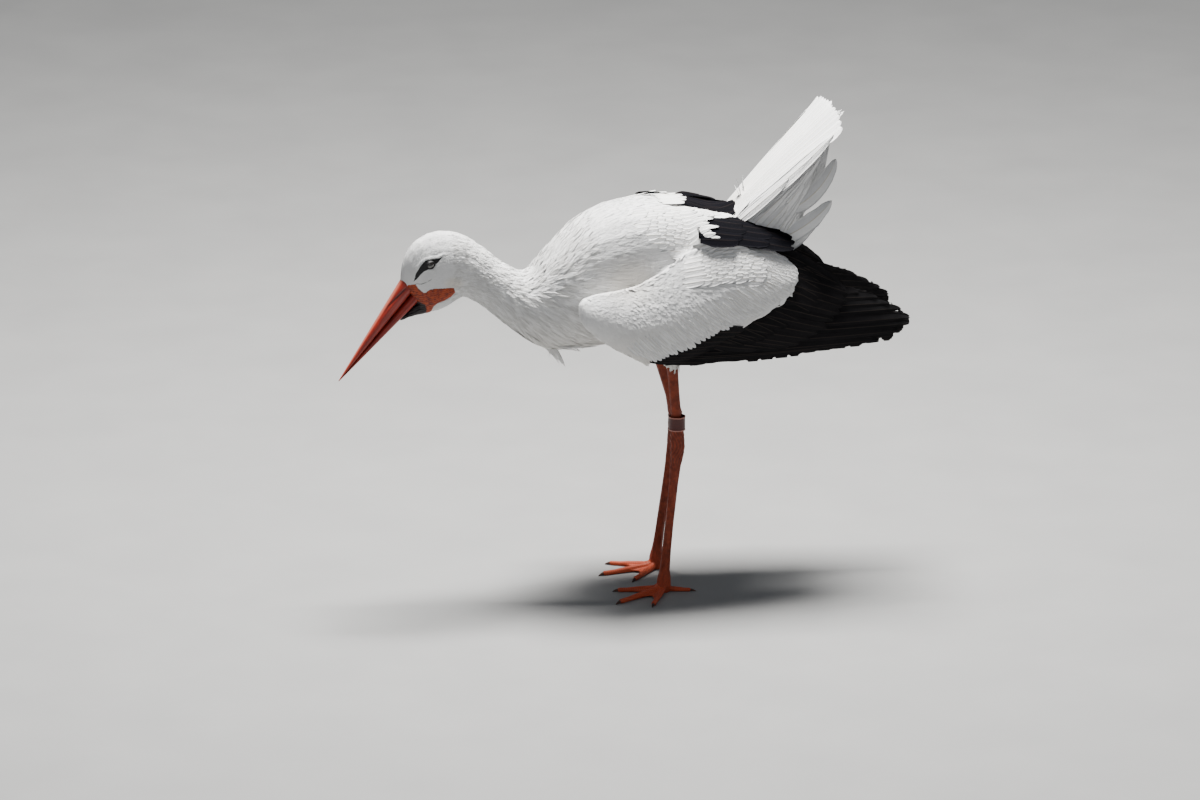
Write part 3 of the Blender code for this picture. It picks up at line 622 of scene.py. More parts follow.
FLESH = ["head", "neck", "trunk", "throat_skin", "undertail_coverts"]
FLESH += [f"thigh_{side}" for side in SIDES]
FLESH += [f"wing_{side}_coverts" for side in SIDES]
REGIONS = {"wing": 1, "thigh": 2}  # any other node is 0, the body
SKIN_VOXEL = 0.0030
FACE_END = -0.300  # the face's skin is finer than the rest, up to here
MOUTH_CREASE = [(-0.3540, 0.4600), (-0.3660, 0.4545), (-0.3800, 0.4470)]


def name_regions(points):
    """The region that each point of the skin belongs to, from the solid that it lies nearest."""
    parts = [read(node) for node in FLESH]
    owners = [REGIONS.get(node.split("_")[0], 0) for node in FLESH]
    owner = np.concatenate([np.full(len(faces), region) for region, (_, faces) in zip(owners, parts)])
    starts = np.cumsum([0] + [len(part) for part, _ in parts[:-1]])
    faces = np.concatenate([faces + start for (_, faces), start in zip(parts, starts)])
    tree = tree_of(np.concatenate([part for part, _ in parts]), faces)
    return np.array([owner[tree.find_nearest(point)[2]] for point in points.tolist()])


def coat_at(points, regions):
    """Lie, length, width and depth of the coat at each point of the skin."""
    lie, length, width, depth = lie_of(points, BODY_LIE)
    for name, table in (("wing", WING_LIE), ("thigh", THIGH_LIE)):
        of_region = regions == REGIONS[name]
        found = lie_of(points[of_region], table)
        for whole, part in zip((lie, length, width, depth), found):
            whole[of_region] = part
    return lie, length, width, depth


def sink(points, faces, depth):
    """Moves the surface in by the coat's depth, or by less where the flesh is thin."""
    normals = vertex_normals(points, faces)
    tree = tree_of(points, faces)
    reach = 0.05
    room = np.full(len(points), reach)
    for i, (point, normal) in enumerate(zip(points.tolist(), normals.tolist())):
        inward = -Vector(normal)
        hit = tree.ray_cast(Vector(point) + inward * 1e-4, inward, reach)
        if hit[0]:
            room[i] = hit[3]
    return points - normals * np.minimum(depth, room * 0.3)[:, None]


def refine_face(points, faces):
    """Cuts each quad of the face into nine. Returns points, quads, and the triangles round the face's end."""
    bm = bmesh.new()
    mesh = new_mesh("face", points, faces)
    bm.from_mesh(mesh)
    bpy.data.meshes.remove(mesh)
    end = FACE_END + ORIGIN[0]
    chosen = {edge for face in bm.faces if face.calc_center_median().x < end for edge in face.edges}
    bmesh.ops.subdivide_edges(bm, edges=list(chosen), cuts=2, use_grid_fill=True)
    bmesh.ops.triangulate(bm, faces=[face for face in bm.faces if len(face.verts) > 4])
    mesh = bpy.data.meshes.new("face")
    bm.to_mesh(mesh)
    bm.free()
    points = rows_of(mesh.vertices, "co") - ORIGIN
    groups = {3: [], 4: []}
    for polygon in mesh.polygons:
        groups[polygon.loop_total].append(tuple(polygon.vertices))
    bpy.data.meshes.remove(mesh)
    return points, np.array(groups[4]), np.array(groups[3]).reshape(-1, 3)


def shape_face(points, normals):
    """The brow, the eye's socket, and the folds of the bare skin."""
    x, z = points[:, 0], points[:, 2]
    out = np.hypot(x - EYE[0], z - EYE[2])
    face = x < -0.305
    height = np.zeros(len(points))
    brow = outline_gap(points, EYE_PATCH)
    height += 0.0008 * np.exp(-(((brow - 0.0016) / 0.0016) ** 2)) * (z > 0.522)
    height -= 0.0006 * (1 - fade(brow, -0.0015, 0.0005))
    folds = np.sin(2 * pi * (z * 0.93 - x * 0.36) / 0.0034 + 1.5 * np.sin(x * 420))
    bare = 1 - fade(outline_gap(points, GULAR), -0.0025, 0.0)
    height += 0.00035 * folds * bare
    height -= 0.0010 * np.exp(-((line_gap(points, MOUTH_CREASE) / 0.0010) ** 2))
    height -= 0.0005 * np.exp(-((line_gap(points, GAPE_LINE) / 0.0008) ** 2))
    moved = points + normals * (height * face)[:, None]
    ball = EYE[1] + np.sqrt(np.maximum(EYE_RADIUS**2 - out**2, 0))
    near = face & (out < 0.0076)
    limit = np.where(out < 0.0060, ball - 0.0016, ball - 0.0004)
    side = np.sign(moved[:, 1])
    moved[:, 1] = np.where(near, side * np.minimum(np.abs(moved[:, 1]), limit), moved[:, 1])
    return moved


LID_TILT = radians(32)  # the eye's long axis rises towards the back
LID_TURNS = 56


def make_lids(skin_tree):
    """Two rimmed lids round each eye, from the ball out to under the skin about it."""
    rings = [  # out from the opening's edge, height over the ball
        (0.0000, -0.00030),
        (0.0000, 0.00045),
        (0.0003, 0.00085),
        (0.0008, 0.00090),
        (0.0012, 0.00050),
        (0.0017, 0.00062),
        (0.0022, 0.00028),
    ]
    points = []
    for sign in SIDES.values():
        for out, height in rings + [(0.0030, None), (0.0044, None)]:
            for i in range(LID_TURNS):
                angle = 2 * pi * i / LID_TURNS
                opening = 0.0046 + 0.0008 * abs(cos(angle)) ** 3 - 0.0003 * max(0.0, sin(angle))
                reach = opening + out
                x = EYE[0] + reach * cos(angle + LID_TILT)
                z = EYE[2] + reach * sin(angle + LID_TILT)
                ball = EYE[1] + np.sqrt(max(EYE_RADIUS**2 - reach**2, 0))
                if height is None:
                    hit = skin_tree.ray_cast(Vector((x, sign * 0.06, z)), Vector((0, -sign, 0)))[0]
                    level = abs(hit.y) if hit else ball
                    y = level + (0.00035 if out < 0.004 else -0.0004)
                else:
                    y = ball + height
                points.append((x, sign * y, z))
    rows = len(rings) + 2
    quads = grid_faces(rows, LID_TURNS, closed=True)
    left, right = quads, quads[:, ::-1] + rows * LID_TURNS
    return np.array(points), np.concatenate([left, right])


def make_skin(material):
    """Returns the skin, its points, and how many of them come before those of the lids."""
    points, quads = fused(FLESH + ["eye_left", "eye_right"], 0.0005, SKIN_VOXEL)
    points = smoothed(points, quads, 5)
    regions = name_regions(points)
    depth = coat_at(points, regions)[3] + 0.0005
    bare = markings(points)[:, :3].max(axis=1)
    points = sink(points, quads, depth * (1 - 0.7 * bare))
    points = smoothed(points, quads, 3)
    points, quads, triangles = refine_face(points, quads)
    face = fade(points[:, 0], FACE_END, FACE_END - 0.006)[:, None]
    points = smoothed(points, quads, 4, face)
    every = np.concatenate([quads, np.concatenate([triangles, triangles[:, :1]], axis=1)])
    points = shape_face(points, vertex_normals(points, every))
    lid_points, lid_faces = make_lids(tree_of(points, every))
    count = len(points)
    points = np.concatenate([points, lid_points])
    mesh = new_mesh("skin", points, np.concatenate([quads, lid_faces + count]), triangles)
    marks = markings(points)
    marks[count:] = (1, 0, 0, 0)
    add_values(mesh, "marks", marks)
    piece = show("skin", mesh, "white_feather", material, replaced=FLESH)
    unwrap(piece)
    return piece, points, count


def unwrap(piece):
    """Unwraps a piece's own surface into the map that a bake uses."""
    piece.data.uv_layers.new(name="OFBake")
    bpy.context.view_layer.objects.active = piece
    piece.select_set(True)
    bpy.ops.object.mode_set(mode="EDIT")
    bpy.ops.mesh.select_all(action="SELECT")
    bpy.ops.uv.smart_project(angle_limit=radians(66), island_margin=0.002)
    bpy.ops.object.mode_set(mode="OBJECT")
    piece.select_set(False)


# The coat.


class Ground:
    """The skin as feathers need it: its triangles, their UV places and regions, and a tree to find it by."""

    def __init__(self, piece, points, last):
        """last is how many of the points are the skin's own, without the lids."""
        mesh = piece.data
        mesh.calc_loop_triangles()
        corners = rows_of(mesh.loop_triangles, "vertices", kind=np.int32)
        loops = rows_of(mesh.loop_triangles, "loops", kind=np.int32)
        places = rows_of(mesh.uv_layers["OFBake"].uv, "vector", 2)
        own = (corners < last).all(axis=1)
        self.points = points
        self.faces = corners[own]
        self.maps = places[loops[own]]
        normals = vertex_normals(points[:last], self.faces)
        self.normals = unit(normals[self.faces].mean(axis=1))
        self.soft = [Vector(normal) for normal in self.normals.tolist()]
        self.tree = tree_of(points[:last], self.faces)
        a, b, c = (points[self.faces[:, k]] for k in range(3))
        self.areas = np.linalg.norm(np.cross(b - a, c - a), axis=1) / 2
        self.middles = points[self.faces].mean(axis=1)
        self.regions = name_regions(self.middles)
        self.lie, self.length, self.width, self.depth = coat_at(self.middles, self.regions)

    def sow(self, rng, chosen, spacing):
        """Even random roots on the chosen faces, with a spacing for each face. Returns faces, points and
        places of the map."""
        faces = np.flatnonzero(chosen)
        expected = self.areas[faces] / spacing[faces] ** 2 * 3.0
        counts = rng.poisson(expected)
        faces = np.repeat(faces, counts)
        a, b = rng.random((2, len(faces)))
        fold = a + b > 1
        a, b = np.where(fold, 1 - a, a), np.where(fold, 1 - b, b)
        shares = np.stack([1 - a - b, a, b], axis=1)[:, :, None]
        points = (self.points[self.faces[faces]] * shares).sum(axis=1)
        maps = (self.maps[faces] * shares).sum(axis=1)
        keep = thin_out(points, spacing[faces], rng)
        return faces[keep], points[keep], maps[keep]

    def walk(self, starts, directions, normals, lengths, regions, steps):
        """Each feather's midrib, which follows the skin of its own region, and runs straight on where that
        turns away. Returns its points and the way out of the coat at each."""
        centres = np.empty((len(starts), steps + 1, 3))
        ups = np.empty_like(centres)
        nearest, soft, owner = self.tree.find_nearest, self.soft, self.regions
        feathers = zip(starts, directions, normals, lengths, regions)
        for i, (start, way, up, length, region) in enumerate(feathers):
            point, way, first = Vector(start), Vector(way), Vector(up)
            centres[i, 0], ups[i, 0] = start, up
            here = first
            for k in range(1, steps + 1):
                target = point + way * (length / steps)
                hit, _, face, _ = nearest(target)
                turned = soft[face]
                if turned.dot(first) > 0.5 and owner[face] == region:
                    way = (hit - point) - turned * (hit - point).dot(turned)
                    way.normalize()
                    point, here = hit, turned
                else:
                    point = target
                centres[i, k], ups[i, k] = point, here
        return centres, ups


def thin_out(points, spacing, rng):
    """Picks one point in each cell of a grid as fine as the spacing, a band of like spacing at a time."""
    order = rng.permutation(len(points))
    band = np.round(np.log(spacing) / 0.12).astype(int)
    size = np.exp(band * 0.12)
    cells = np.floor(points / size[:, None] + 0.37 * band[:, None]).astype(int)
    keys = np.concatenate([cells, band[:, None]], axis=1)[order]
    first = np.unique(keys, axis=0, return_index=True)[1]
    return order[first]


def tuft_places(maps, steps, columns=2):
    """Each tuft's patch of the map, 0.003 across, at its root's place."""
    patch = 0.003
    along = np.linspace(-0.5, 0.5, steps + 1)
    across = np.linspace(-0.5, 0.5, columns)
    spread = np.stack(np.meshgrid(across, along), axis=-1) * patch
    return maps[:, None, None, :] + spread[None]


class Coat:
    """Blades of one piece, gathered until it is shown."""

    def __init__(self):
        self.points, self.maps, self.tufts, self.marks, self.steps = [], [], [], [], []

    def add(
        self, rng, centres, ups, maps, widths, depths, chance, marks, blades, shape, ragged, roll, shades_locks
    ):
        """Plants feathers of several blades, which fan out from the midrib and end at their own lengths."""
        count, steps = centres.shape[0], centres.shape[1] - 1
        share = np.linspace(0, 1, steps + 1)
        shape = np.interp(share, *SHAPES[shape])
        forward = unit(np.gradient(centres, axis=1))
        sides = unit(np.cross(ups, forward))
        lift = np.interp(share, (0, 0.2, 1), (0.05, 0.62, 1.0))
        for blade in range(blades):
            aside = (blade - (blades - 1) / 2) / blades + rng.normal(0, 0.05, count)
            reach = 1 - 0.40 * aside**2 - ragged * rng.random(count)
            middle = centres[:, :1] + (centres - centres[:, :1]) * reach[:, None, None]
            drift = (aside * widths)[:, None] * share[None, :] ** 0.7
            half = (widths / blades)[:, None] * 0.72 * shape[None, :]
            tipped = rng.normal(0, roll, count)[:, None]
            bow = -0.6 * np.abs(aside) * widths * 0.5
            depth = depths + rng.normal(0, 0.06, count) * depths
            height = depth[:, None] * lift[None, :] + bow[:, None] * share
            pair = []
            for hand in (-1, 1):
                rise = height + hand * tipped * half
                pair.append(middle + sides * (drift + hand * half)[:, :, None] + ups * rise[:, :, None])
            self.points.append(np.stack(pair, axis=2).reshape(-1, 3))
            self.maps.append(tuft_places(maps, steps).reshape(-1, 2))
            tuft = np.empty((count, steps + 1, 2, 4))
            tuft[..., 0] = np.clip(chance + rng.normal(0, 0.12, count), 0, 1)[:, None, None]
            tuft[..., 1] = share[None, :, None]
            tuft[..., 2] = np.array((0.0, 1.0))[None, None, :]
            tuft[..., 3] = shades_locks
            self.tufts.append(tuft.reshape(-1, 4))
            self.marks.append(np.repeat(marks, (steps + 1) * 2, axis=0))
            self.steps.append((count, steps))

    def faces(self):
        made, start = [], 0
        for count, steps in self.steps:
            template = grid_faces(steps + 1, 2)
            size = (steps + 1) * 2
            made.append((template[None] + (start + size * np.arange(count))[:, None, None]).reshape(-1, 4))
            start += size * count
        return np.concatenate(made)

    def show(self, name, material):
        mesh = new_mesh(name, np.concatenate(self.points), self.faces())
        add_map(mesh, np.concatenate(self.maps))
        add_values(mesh, "tuft", np.concatenate(self.tufts))
        add_values(mesh, "marks", np.concatenate(self.marks))
        return show(name, mesh, "white_feather", material)


# Width along a blade, from its root to its tip.
SHAPES = {
    "barb": ((0, 0.3, 0.7, 1), (0.55, 1.0, 0.85, 0.10)),
    "hackle": ((0, 0.25, 0.6, 1), (0.70, 1.0, 0.75, 0.04)),
    "leaf": ((0, 0.25, 0.75, 1), (0.60, 1.0, 0.95, 0.30)),
    "scale": ((0, 0.25, 0.75, 0.92, 1), (0.60, 1.0, 1.0, 0.72, 0.25)),
}


BORDER_GAP = 0.004  # how far outside a border the feathers' tips stay


def drawn_together(rng, roots, centres, lie, spacing, pull):
    """Draws the feathers' tips together into locks, and returns a random number for each lock as well."""
    guides = thin_out(roots, np.full(len(roots), spacing), rng)
    tree = KDTree(len(guides))
    for i, guide in enumerate(guides):
        tree.insert(Vector(roots[guide]), i)
    tree.balance()
    nearest = np.array([tree.find(Vector(root))[1] for root in roots])
    share = np.linspace(0, 1, centres.shape[1])[None, :, None]
    aside = centres[guides[nearest]] - centres
    aside -= (aside * lie[:, None]).sum(axis=2, keepdims=True) * lie[:, None]
    return centres + aside * pull * share**1.3, rng.random(len(guides))[nearest]


def plant(
    ground, rng, chosen, density, steps, blades,
    shape="barb", ragged=0.12, roll=0.12, lock=(0, 0), border=None,
):  # fmt: skip
    """A coat of feathers sown on the chosen faces. lock is the width of a lock and its pull, and no feather's
    tip lies inside the border, an outline in side view."""
    spacing = np.sqrt(ground.width * ground.length) * density
    faces, roots, maps = ground.sow(rng, chosen, spacing)
    marks = markings(roots)
    keep = marks[:, :3].max(axis=1) < 0.45  # none on bare or black skin
    faces, roots, maps, marks = faces[keep], roots[keep], maps[keep], marks[keep]
    normals = ground.normals[faces]
    lie = ground.lie[faces] + rng.normal(0, 0.08, (len(faces), 3))
    lie = unit(lie - normals * (lie * normals).sum(axis=1, keepdims=True))
    lengths = ground.length[faces] * (1 + rng.normal(0, 0.10, len(faces)))
    centres, ups = ground.walk(roots, lie, normals, lengths, ground.regions[faces], steps)
    if border:
        clear = outline_gap(centres[:, -1], border) > BORDER_GAP
        feathers = (faces, roots, maps, marks, lie, centres, ups)
        faces, roots, maps, marks, lie, centres, ups = (values[clear] for values in feathers)
    chance = rng.random(len(faces))
    depths = ground.depth[faces]
    if lock[1]:
        centres, shared = drawn_together(rng, roots, centres, lie, *lock)
        chance = 0.4 * chance + 0.6 * shared
        depths = depths * (0.75 + 0.5 * shared)
    marks[:, :3] = 0
    widths = ground.width[faces]
    # Coats drawn into locks get the painted shadow between their locks.
    shades_locks = float(lock[1] > 0)
    coat = Coat()
    coat.add(rng, centres, ups, maps, widths, depths, chance, marks, blades, shape, ragged, roll, shades_locks)
    return coat


NAPE, NECK, BREAST, TRUNK = -0.318, -0.262, -0.200, -0.120  # where each starts, from the bill back
REAR = 0.66  # where the undertail's feathers start, as x + z


def make_coat(ground, material):
    """The small feathers, piece by piece: its faces, spacing, steps, blades in a feather, and form."""
    x, y, z = ground.middles.T
    body, wing, thigh = (ground.regions == region for region in range(3))
    facing_out = ground.normals[:, 1] * np.sign(y)
    wing &= (facing_out > -0.25) | (z < 0.42)  # none on the wing's face against the body
    face = body & (x < NAPE)
    nape = body & (x >= NAPE) & (x < NECK)
    neck = body & (x >= NECK) & (x < BREAST)
    breast = body & (x >= BREAST) & (x < TRUNK)
    trunk = body & (x >= TRUNK) & ((x + z) < REAR)
    rear = body & (x >= TRUNK) & ((x + z) >= REAR)
    hackles = {"shape": "hackle", "roll": 0.15, "ragged": 0.0}
    soft = {"shape": "leaf", "ragged": 0.10, "roll": 0.06}
    scales = {"shape": "scale", "ragged": 0.05, "roll": 0.05, "border": PAST_COVERTS}
    plans = [
        ("coat_face", face, 0.44, 3, 1, {"ragged": 0.0, "roll": 0.10}),
        ("coat_nape", nape, 0.30, 3, 1, {"lock": (0.0035, 0.45), **hackles}),
        ("coat_neck", neck, 0.27, 4, 1, {"lock": (0.0050, 0.65), **hackles}),
        ("coat_breast", breast, 0.24, 5, 1, {"lock": (0.0065, 0.75), **hackles}),
        ("coat_trunk_left", trunk & (y < 0), 0.30, 4, 4, soft),
        ("coat_trunk_right", trunk & (y >= 0), 0.30, 4, 4, soft),
        ("coat_undertail", rear, 0.28, 5, 4, soft),
        ("coat_wing_left", wing & (y < 0), 0.30, 5, 3, scales),
        ("coat_wing_right", wing & (y >= 0), 0.30, 5, 3, scales),
        ("coat_thighs", thigh, 0.28, 4, 3, {}),
    ]
    for seed, (name, chosen, density, steps, blades, form) in enumerate(plans):
        rng = np.random.default_rng(100 + seed)
        plant(ground, rng, chosen, density, steps, blades, **form).show(name, material)


# Large feathers.

VANE_ROWS = 24  # steps along a feather, or fewer where small feathers overlap
VANE_SIDES = np.array((-1.0, -0.72, -0.36, -0.07, 0.0, 0.07, 0.36, 0.72, 1.0))
RIB = (VANE_SIDES == 0).astype(float)


class Drape:
    """How far some solids stand out along an axis, as a smooth height that runs on past their edges."""

    def __init__(self, nodes, u, v, w, low, high, step=0.003, rounds=6):
        self.u, self.v, self.w = np.array(u), np.array(v), np.array(w)
        self.low, self.step = np.array(low), step
        counts = np.ceil((np.array(high) - low) / step).astype(int) + 1
        tree = tree_of(*read(*nodes))
        heights = np.full(counts, np.nan)
        down = Vector(-self.w)
        for i in range(counts[0]):
            for j in range(counts[1]):
                start = self.at(low[0] + i * step, low[1] + j * step, 1.0)
                hit = tree.ray_cast(Vector(start), down, 2.0)
                if hit[0]:
                    heights[i, j] = 1.0 - hit[3]
        known = ~np.isnan(heights)
        filled = np.where(known, heights, heights[known].mean())
        for _ in range(300):
            filled = np.where(known, heights, self.blurred(filled))
        for _ in range(rounds):
            filled = self.blurred(filled)
        self.heights = filled

    @staticmethod
    def blurred(heights):
        wide = np.pad(heights, 1, mode="edge")
        return (wide[:-2, 1:-1] + wide[2:, 1:-1] + wide[1:-1, :-2] + wide[1:-1, 2:]) / 4

    def at(self, u, v, w):
        """The point at two places in the drape's plane and a height over it."""
        return np.multiply.outer(u, self.u) + np.multiply.outer(v, self.v) + np.multiply.outer(w, self.w)

    def height(self, u, v):
        """The solids' height there, blended between the four nearest that were measured."""
        places = (np.stack([u, v], axis=-1) - self.low) / self.step
        places = np.clip(places, 0, np.array(self.heights.shape) - 1.001)
        i, j = places[..., 0].astype(int), places[..., 1].astype(int)
        s, t = places[..., 0] - i, places[..., 1] - j
        h = self.heights
        near, far = (1 - t) * h[i, j] + t * h[i, j + 1], (1 - t) * h[i + 1, j] + t * h[i + 1, j + 1]
        return (1 - s) * near + s * far


def vane_outline(share, tip_start, root_width, point):
    """The half width of a vane along its length, which swells from the root and narrows to the tip. point is
    0.5 for a round tip, and more for a pointed one."""
    swell = root_width + (1 - root_width) * fade(share, 0.0, 0.35)
    past = np.clip((share - tip_start) / (1 - tip_start), 0, 1)
    return swell * np.maximum(1 - past**2, 0.0004) ** point


class Vanes:
    """Large feathers, each a thin closed blade with a raised shaft, gathered until their piece is shown."""

    def __init__(self, seed, rows=VANE_ROWS):
        self.rng = np.random.default_rng(seed)
        self.rows = rows
        self.points, self.values, self.flips = [], [], []

    def add(self, base, ups, length, thickness=0.0004, shaft=0.0005, flip=False):
        """base is a grid of points, a row for each step along the feather. ups points out of its face."""
        share = np.linspace(0, 1, len(base))[:, None]
        rib = RIB[None, :] * shaft * (1 - 0.85 * share)
        thick = thickness * (1 - 0.6 * np.abs(VANE_SIDES))[None, :]
        top = base + ups * rib[..., None]
        bottom = base - ups * (thick + 0.7 * rib)[..., None]
        self.points.append(np.concatenate([top, bottom]).reshape(-1, 3))
        values = np.empty((2 * len(base), len(VANE_SIDES), 4))
        values[..., 0] = VANE_SIDES[None, :]
        values[..., 1] = np.concatenate([share, share])
        values[..., 2] = length
        values[..., 3] = self.rng.random()
        self.values.append(values.reshape(-1, 4))
        self.flips.append(flip)

    def steps(self):
        """Places along a feather, closer together towards its tip."""
        t = np.linspace(0, 1, self.rows)
        return 1 - (1 - t) ** 1.5

    def half_widths(self, share, low, high, tip_start, root_width, point=0.5):
        """How far each column of a feather lies from its shaft, with a ragged edge towards the tip."""
        ragged = 1 + 0.035 * self.rng.normal(size=(len(share), 2)) * fade(share, 0.3, 0.8)[:, None]
        outline = vane_outline(share, tip_start, root_width, point)
        below = VANE_SIDES < 0
        halves = np.where(below, low, high)[None, :] * np.abs(VANE_SIDES)[None, :]
        edge = np.where(below, ragged[:, :1], ragged[:, 1:])
        edge = np.where(np.abs(VANE_SIDES) == 1, edge, 1)
        return np.sign(VANE_SIDES)[None, :] * halves * outline[:, None] * edge

    def lay(
        self, drape, root, tip, bend, low, high, lift, rise, tilt,
        camber=0.0012, tip_start=0.82, root_width=0.5,
    ):  # fmt: skip
        """A feather over a drape, from root to tip in its plane. low and high are its half widths below and
        above the shaft, lift its height at the root, rise how much higher its tip is, and tilt its roll."""
        root, tip = np.array(root), np.array(tip)
        length = np.linalg.norm(tip - root)
        aside = np.array((-(tip - root)[1], (tip - root)[0])) / length
        share = self.steps()
        middle = root + np.outer(share, tip - root) + np.outer(2 * share * (1 - share), aside * bend)
        forward = unit(np.gradient(middle, share, axis=0))
        across = np.stack([-forward[:, 1], forward[:, 0]], axis=1)
        widths = self.half_widths(share, low, high, tip_start, root_width)
        flat = middle[:, None, :] + across[:, None, :] * widths[..., None]
        side = VANE_SIDES[None, :]
        cup = camber * (1 - side**2) * fade(share, 0, 0.3)[:, None]
        height = lift + rise * share[:, None] - tilt * side + cup
        height = height + drape.height(flat[..., 0], flat[..., 1])
        base = drape.at(flat[..., 0], flat[..., 1], height)
        flip = np.dot(np.cross(drape.u, drape.v), drape.w) > 0
        self.add(base, np.broadcast_to(drape.w, base.shape), length, flip=flip)

    def arc(
        self, root, bend, tip, up, half, camber, tip_start,
        root_width=0.5, thickness=0.0004, shaft=0.0005, point=0.5,
    ):  # fmt: skip
        """A feather in the open, along a curve through space, with its upper face towards up."""
        root, bend, tip = (np.array(place, float) for place in (root, bend, tip))
        share = self.steps()[:, None]
        middle = (1 - share) ** 2 * root + 2 * share * (1 - share) * bend + share**2 * tip
        forward = unit(np.gradient(middle, share[:, 0], axis=0))
        across = unit(np.cross(np.array(up, float), forward))
        ups = unit(np.cross(forward, across))
        widths = self.half_widths(share[:, 0], half, half, tip_start, root_width, point)
        cup = camber * (1 - VANE_SIDES**2)[None, :] * fade(share, 0, 0.3)
        base = middle[:, None] + across[:, None] * widths[..., None] + ups[:, None] * cup[..., None]
        length = np.linalg.norm(tip - root)
        self.add(base, np.broadcast_to(ups[:, None], base.shape), length, thickness, shaft, flip=True)

    def show(self, name, slot, material, replaced=()):
        rows, columns = self.rows, len(VANE_SIDES)
        half, size = rows * columns, 2 * rows * columns
        top = grid_faces(rows, columns)
        rim = [i * columns for i in range(rows)] + [(rows - 1) * columns + j for j in range(1, columns)]
        rim += [i * columns + columns - 1 for i in range(rows - 2, -1, -1)]
        rim += list(range(columns - 2, 0, -1))
        rim = np.array(rim)
        after = np.roll(rim, -1)
        edge = np.stack([rim, rim + half, after + half, after], axis=1)
        template = np.concatenate([top, top[:, ::-1] + half, edge])
        faces = []
        for i, flip in enumerate(self.flips):
            faces.append((template[:, ::-1] if flip else template) + i * size)
        mesh = new_mesh(name, np.concatenate(self.points), np.concatenate(faces))
        add_values(mesh, "vane", np.concatenate(self.values))
        add_map(mesh, self.places())
        return show(name, mesh, slot, material, replaced=replaced)

    def places(self):
        """An island of the map for each feather, side by side, its two faces one above the other."""
        count = len(self.flips)
        per_row = int(np.ceil(np.sqrt(count * 4)))
        cell = 1 / per_row
        deep = 1 / int(np.ceil(count / per_row))
        across = 0.5 + 0.44 * VANE_SIDES
        along = np.linspace(0.02, 0.48, self.rows)
        face = np.stack(np.meshgrid(across, along), axis=-1)
        island = np.concatenate([face, face + (0, 0.5)]).reshape(-1, 2)
        maps = [(island + (i % per_row, 0)) * (cell, deep) + (0, (i // per_row) * deep) for i in range(count)]
        return np.concatenate(maps)


# The wing's fans in side view, each from its lowest feather to its highest: root (x, z), tip (x, z), how far
# the feather bows up, and its half widths below and above the shaft.

SECONDARIES = [
    (0.000, 0.418, 0.130, 0.3850, -0.003, 0.0075, 0.0120),
    (0.005, 0.428, 0.165, 0.3830, -0.004, 0.0075, 0.0125),
    (0.015, 0.440, 0.198, 0.3850, -0.004, 0.0080, 0.0130),
    (0.030, 0.460, 0.228, 0.3960, -0.002, 0.0080, 0.0130),
    (0.045, 0.485, 0.252, 0.4130, 0.002, 0.0085, 0.0130),
    (0.055, 0.505, 0.269, 0.4320, 0.006, 0.0090, 0.0125),
    (0.060, 0.522, 0.278, 0.4490, 0.009, 0.0095, 0.0120),
    (0.055, 0.535, 0.266, 0.4640, 0.012, 0.0100, 0.0115),
    (0.045, 0.543, 0.238, 0.4840, 0.014, 0.0105, 0.0110),
]
PRIMARIES = [
    (-0.040, 0.3850, 0.235, 0.3715, -0.003, 0.0050, 0.0110),
    (-0.030, 0.3890, 0.290, 0.3720, -0.003, 0.0050, 0.0110),
    (-0.020, 0.3950, 0.335, 0.3755, -0.003, 0.0055, 0.0115),
    (-0.005, 0.4030, 0.365, 0.3875, 0.000, 0.0060, 0.0120),
    (0.010, 0.4100, 0.379, 0.3985, 0.002, 0.0060, 0.0125),
    (0.020, 0.4180, 0.367, 0.4110, 0.005, 0.0065, 0.0125),
    (0.030, 0.4260, 0.349, 0.4240, 0.008, 0.0070, 0.0125),
    (0.040, 0.4320, 0.326, 0.4360, 0.010, 0.0075, 0.0120),
    (0.050, 0.4360, 0.295, 0.4480, 0.011, 0.0080, 0.0115),
]
GREATER_COVERTS = [
    (-0.026, 0.3950, 0.045, 0.3800, 0.000, 0.0085, 0.0095),
    (0.026, 0.4190, 0.102, 0.3900, 0.001, 0.0090, 0.0100),
    (0.060, 0.4310, 0.136, 0.3980, 0.001, 0.0090, 0.0100),
    (0.084, 0.4470, 0.161, 0.4090, 0.002, 0.0095, 0.0105),
    (0.116, 0.4600, 0.196, 0.4220, 0.002, 0.0095, 0.0105),
    (0.143, 0.4820, 0.221, 0.4430, 0.003, 0.0100, 0.0110),
    (0.153, 0.4990, 0.230, 0.4590, 0.003, 0.0100, 0.0110),
    (0.152, 0.5180, 0.232, 0.4760, 0.004, 0.0100, 0.0110),
    (0.128, 0.5380, 0.212, 0.5020, 0.005, 0.0100, 0.0105),
]
LOWER_COVERTS = [  # black, over the wing's lower front
    (-0.056, 0.3860, 0.050, 0.3705, -0.002, 0.0045, 0.0090),
    (-0.050, 0.3900, 0.068, 0.3760, -0.001, 0.0060, 0.0095),
    (-0.038, 0.3960, 0.082, 0.3830, 0.000, 0.0070, 0.0100),
    (-0.020, 0.4040, 0.098, 0.3910, 0.001, 0.0080, 0.0105),
    (0.006, 0.4140, 0.116, 0.3990, 0.001, 0.0085, 0.0105),
    (0.034, 0.4260, 0.132, 0.4080, 0.001, 0.0090, 0.0105),
]
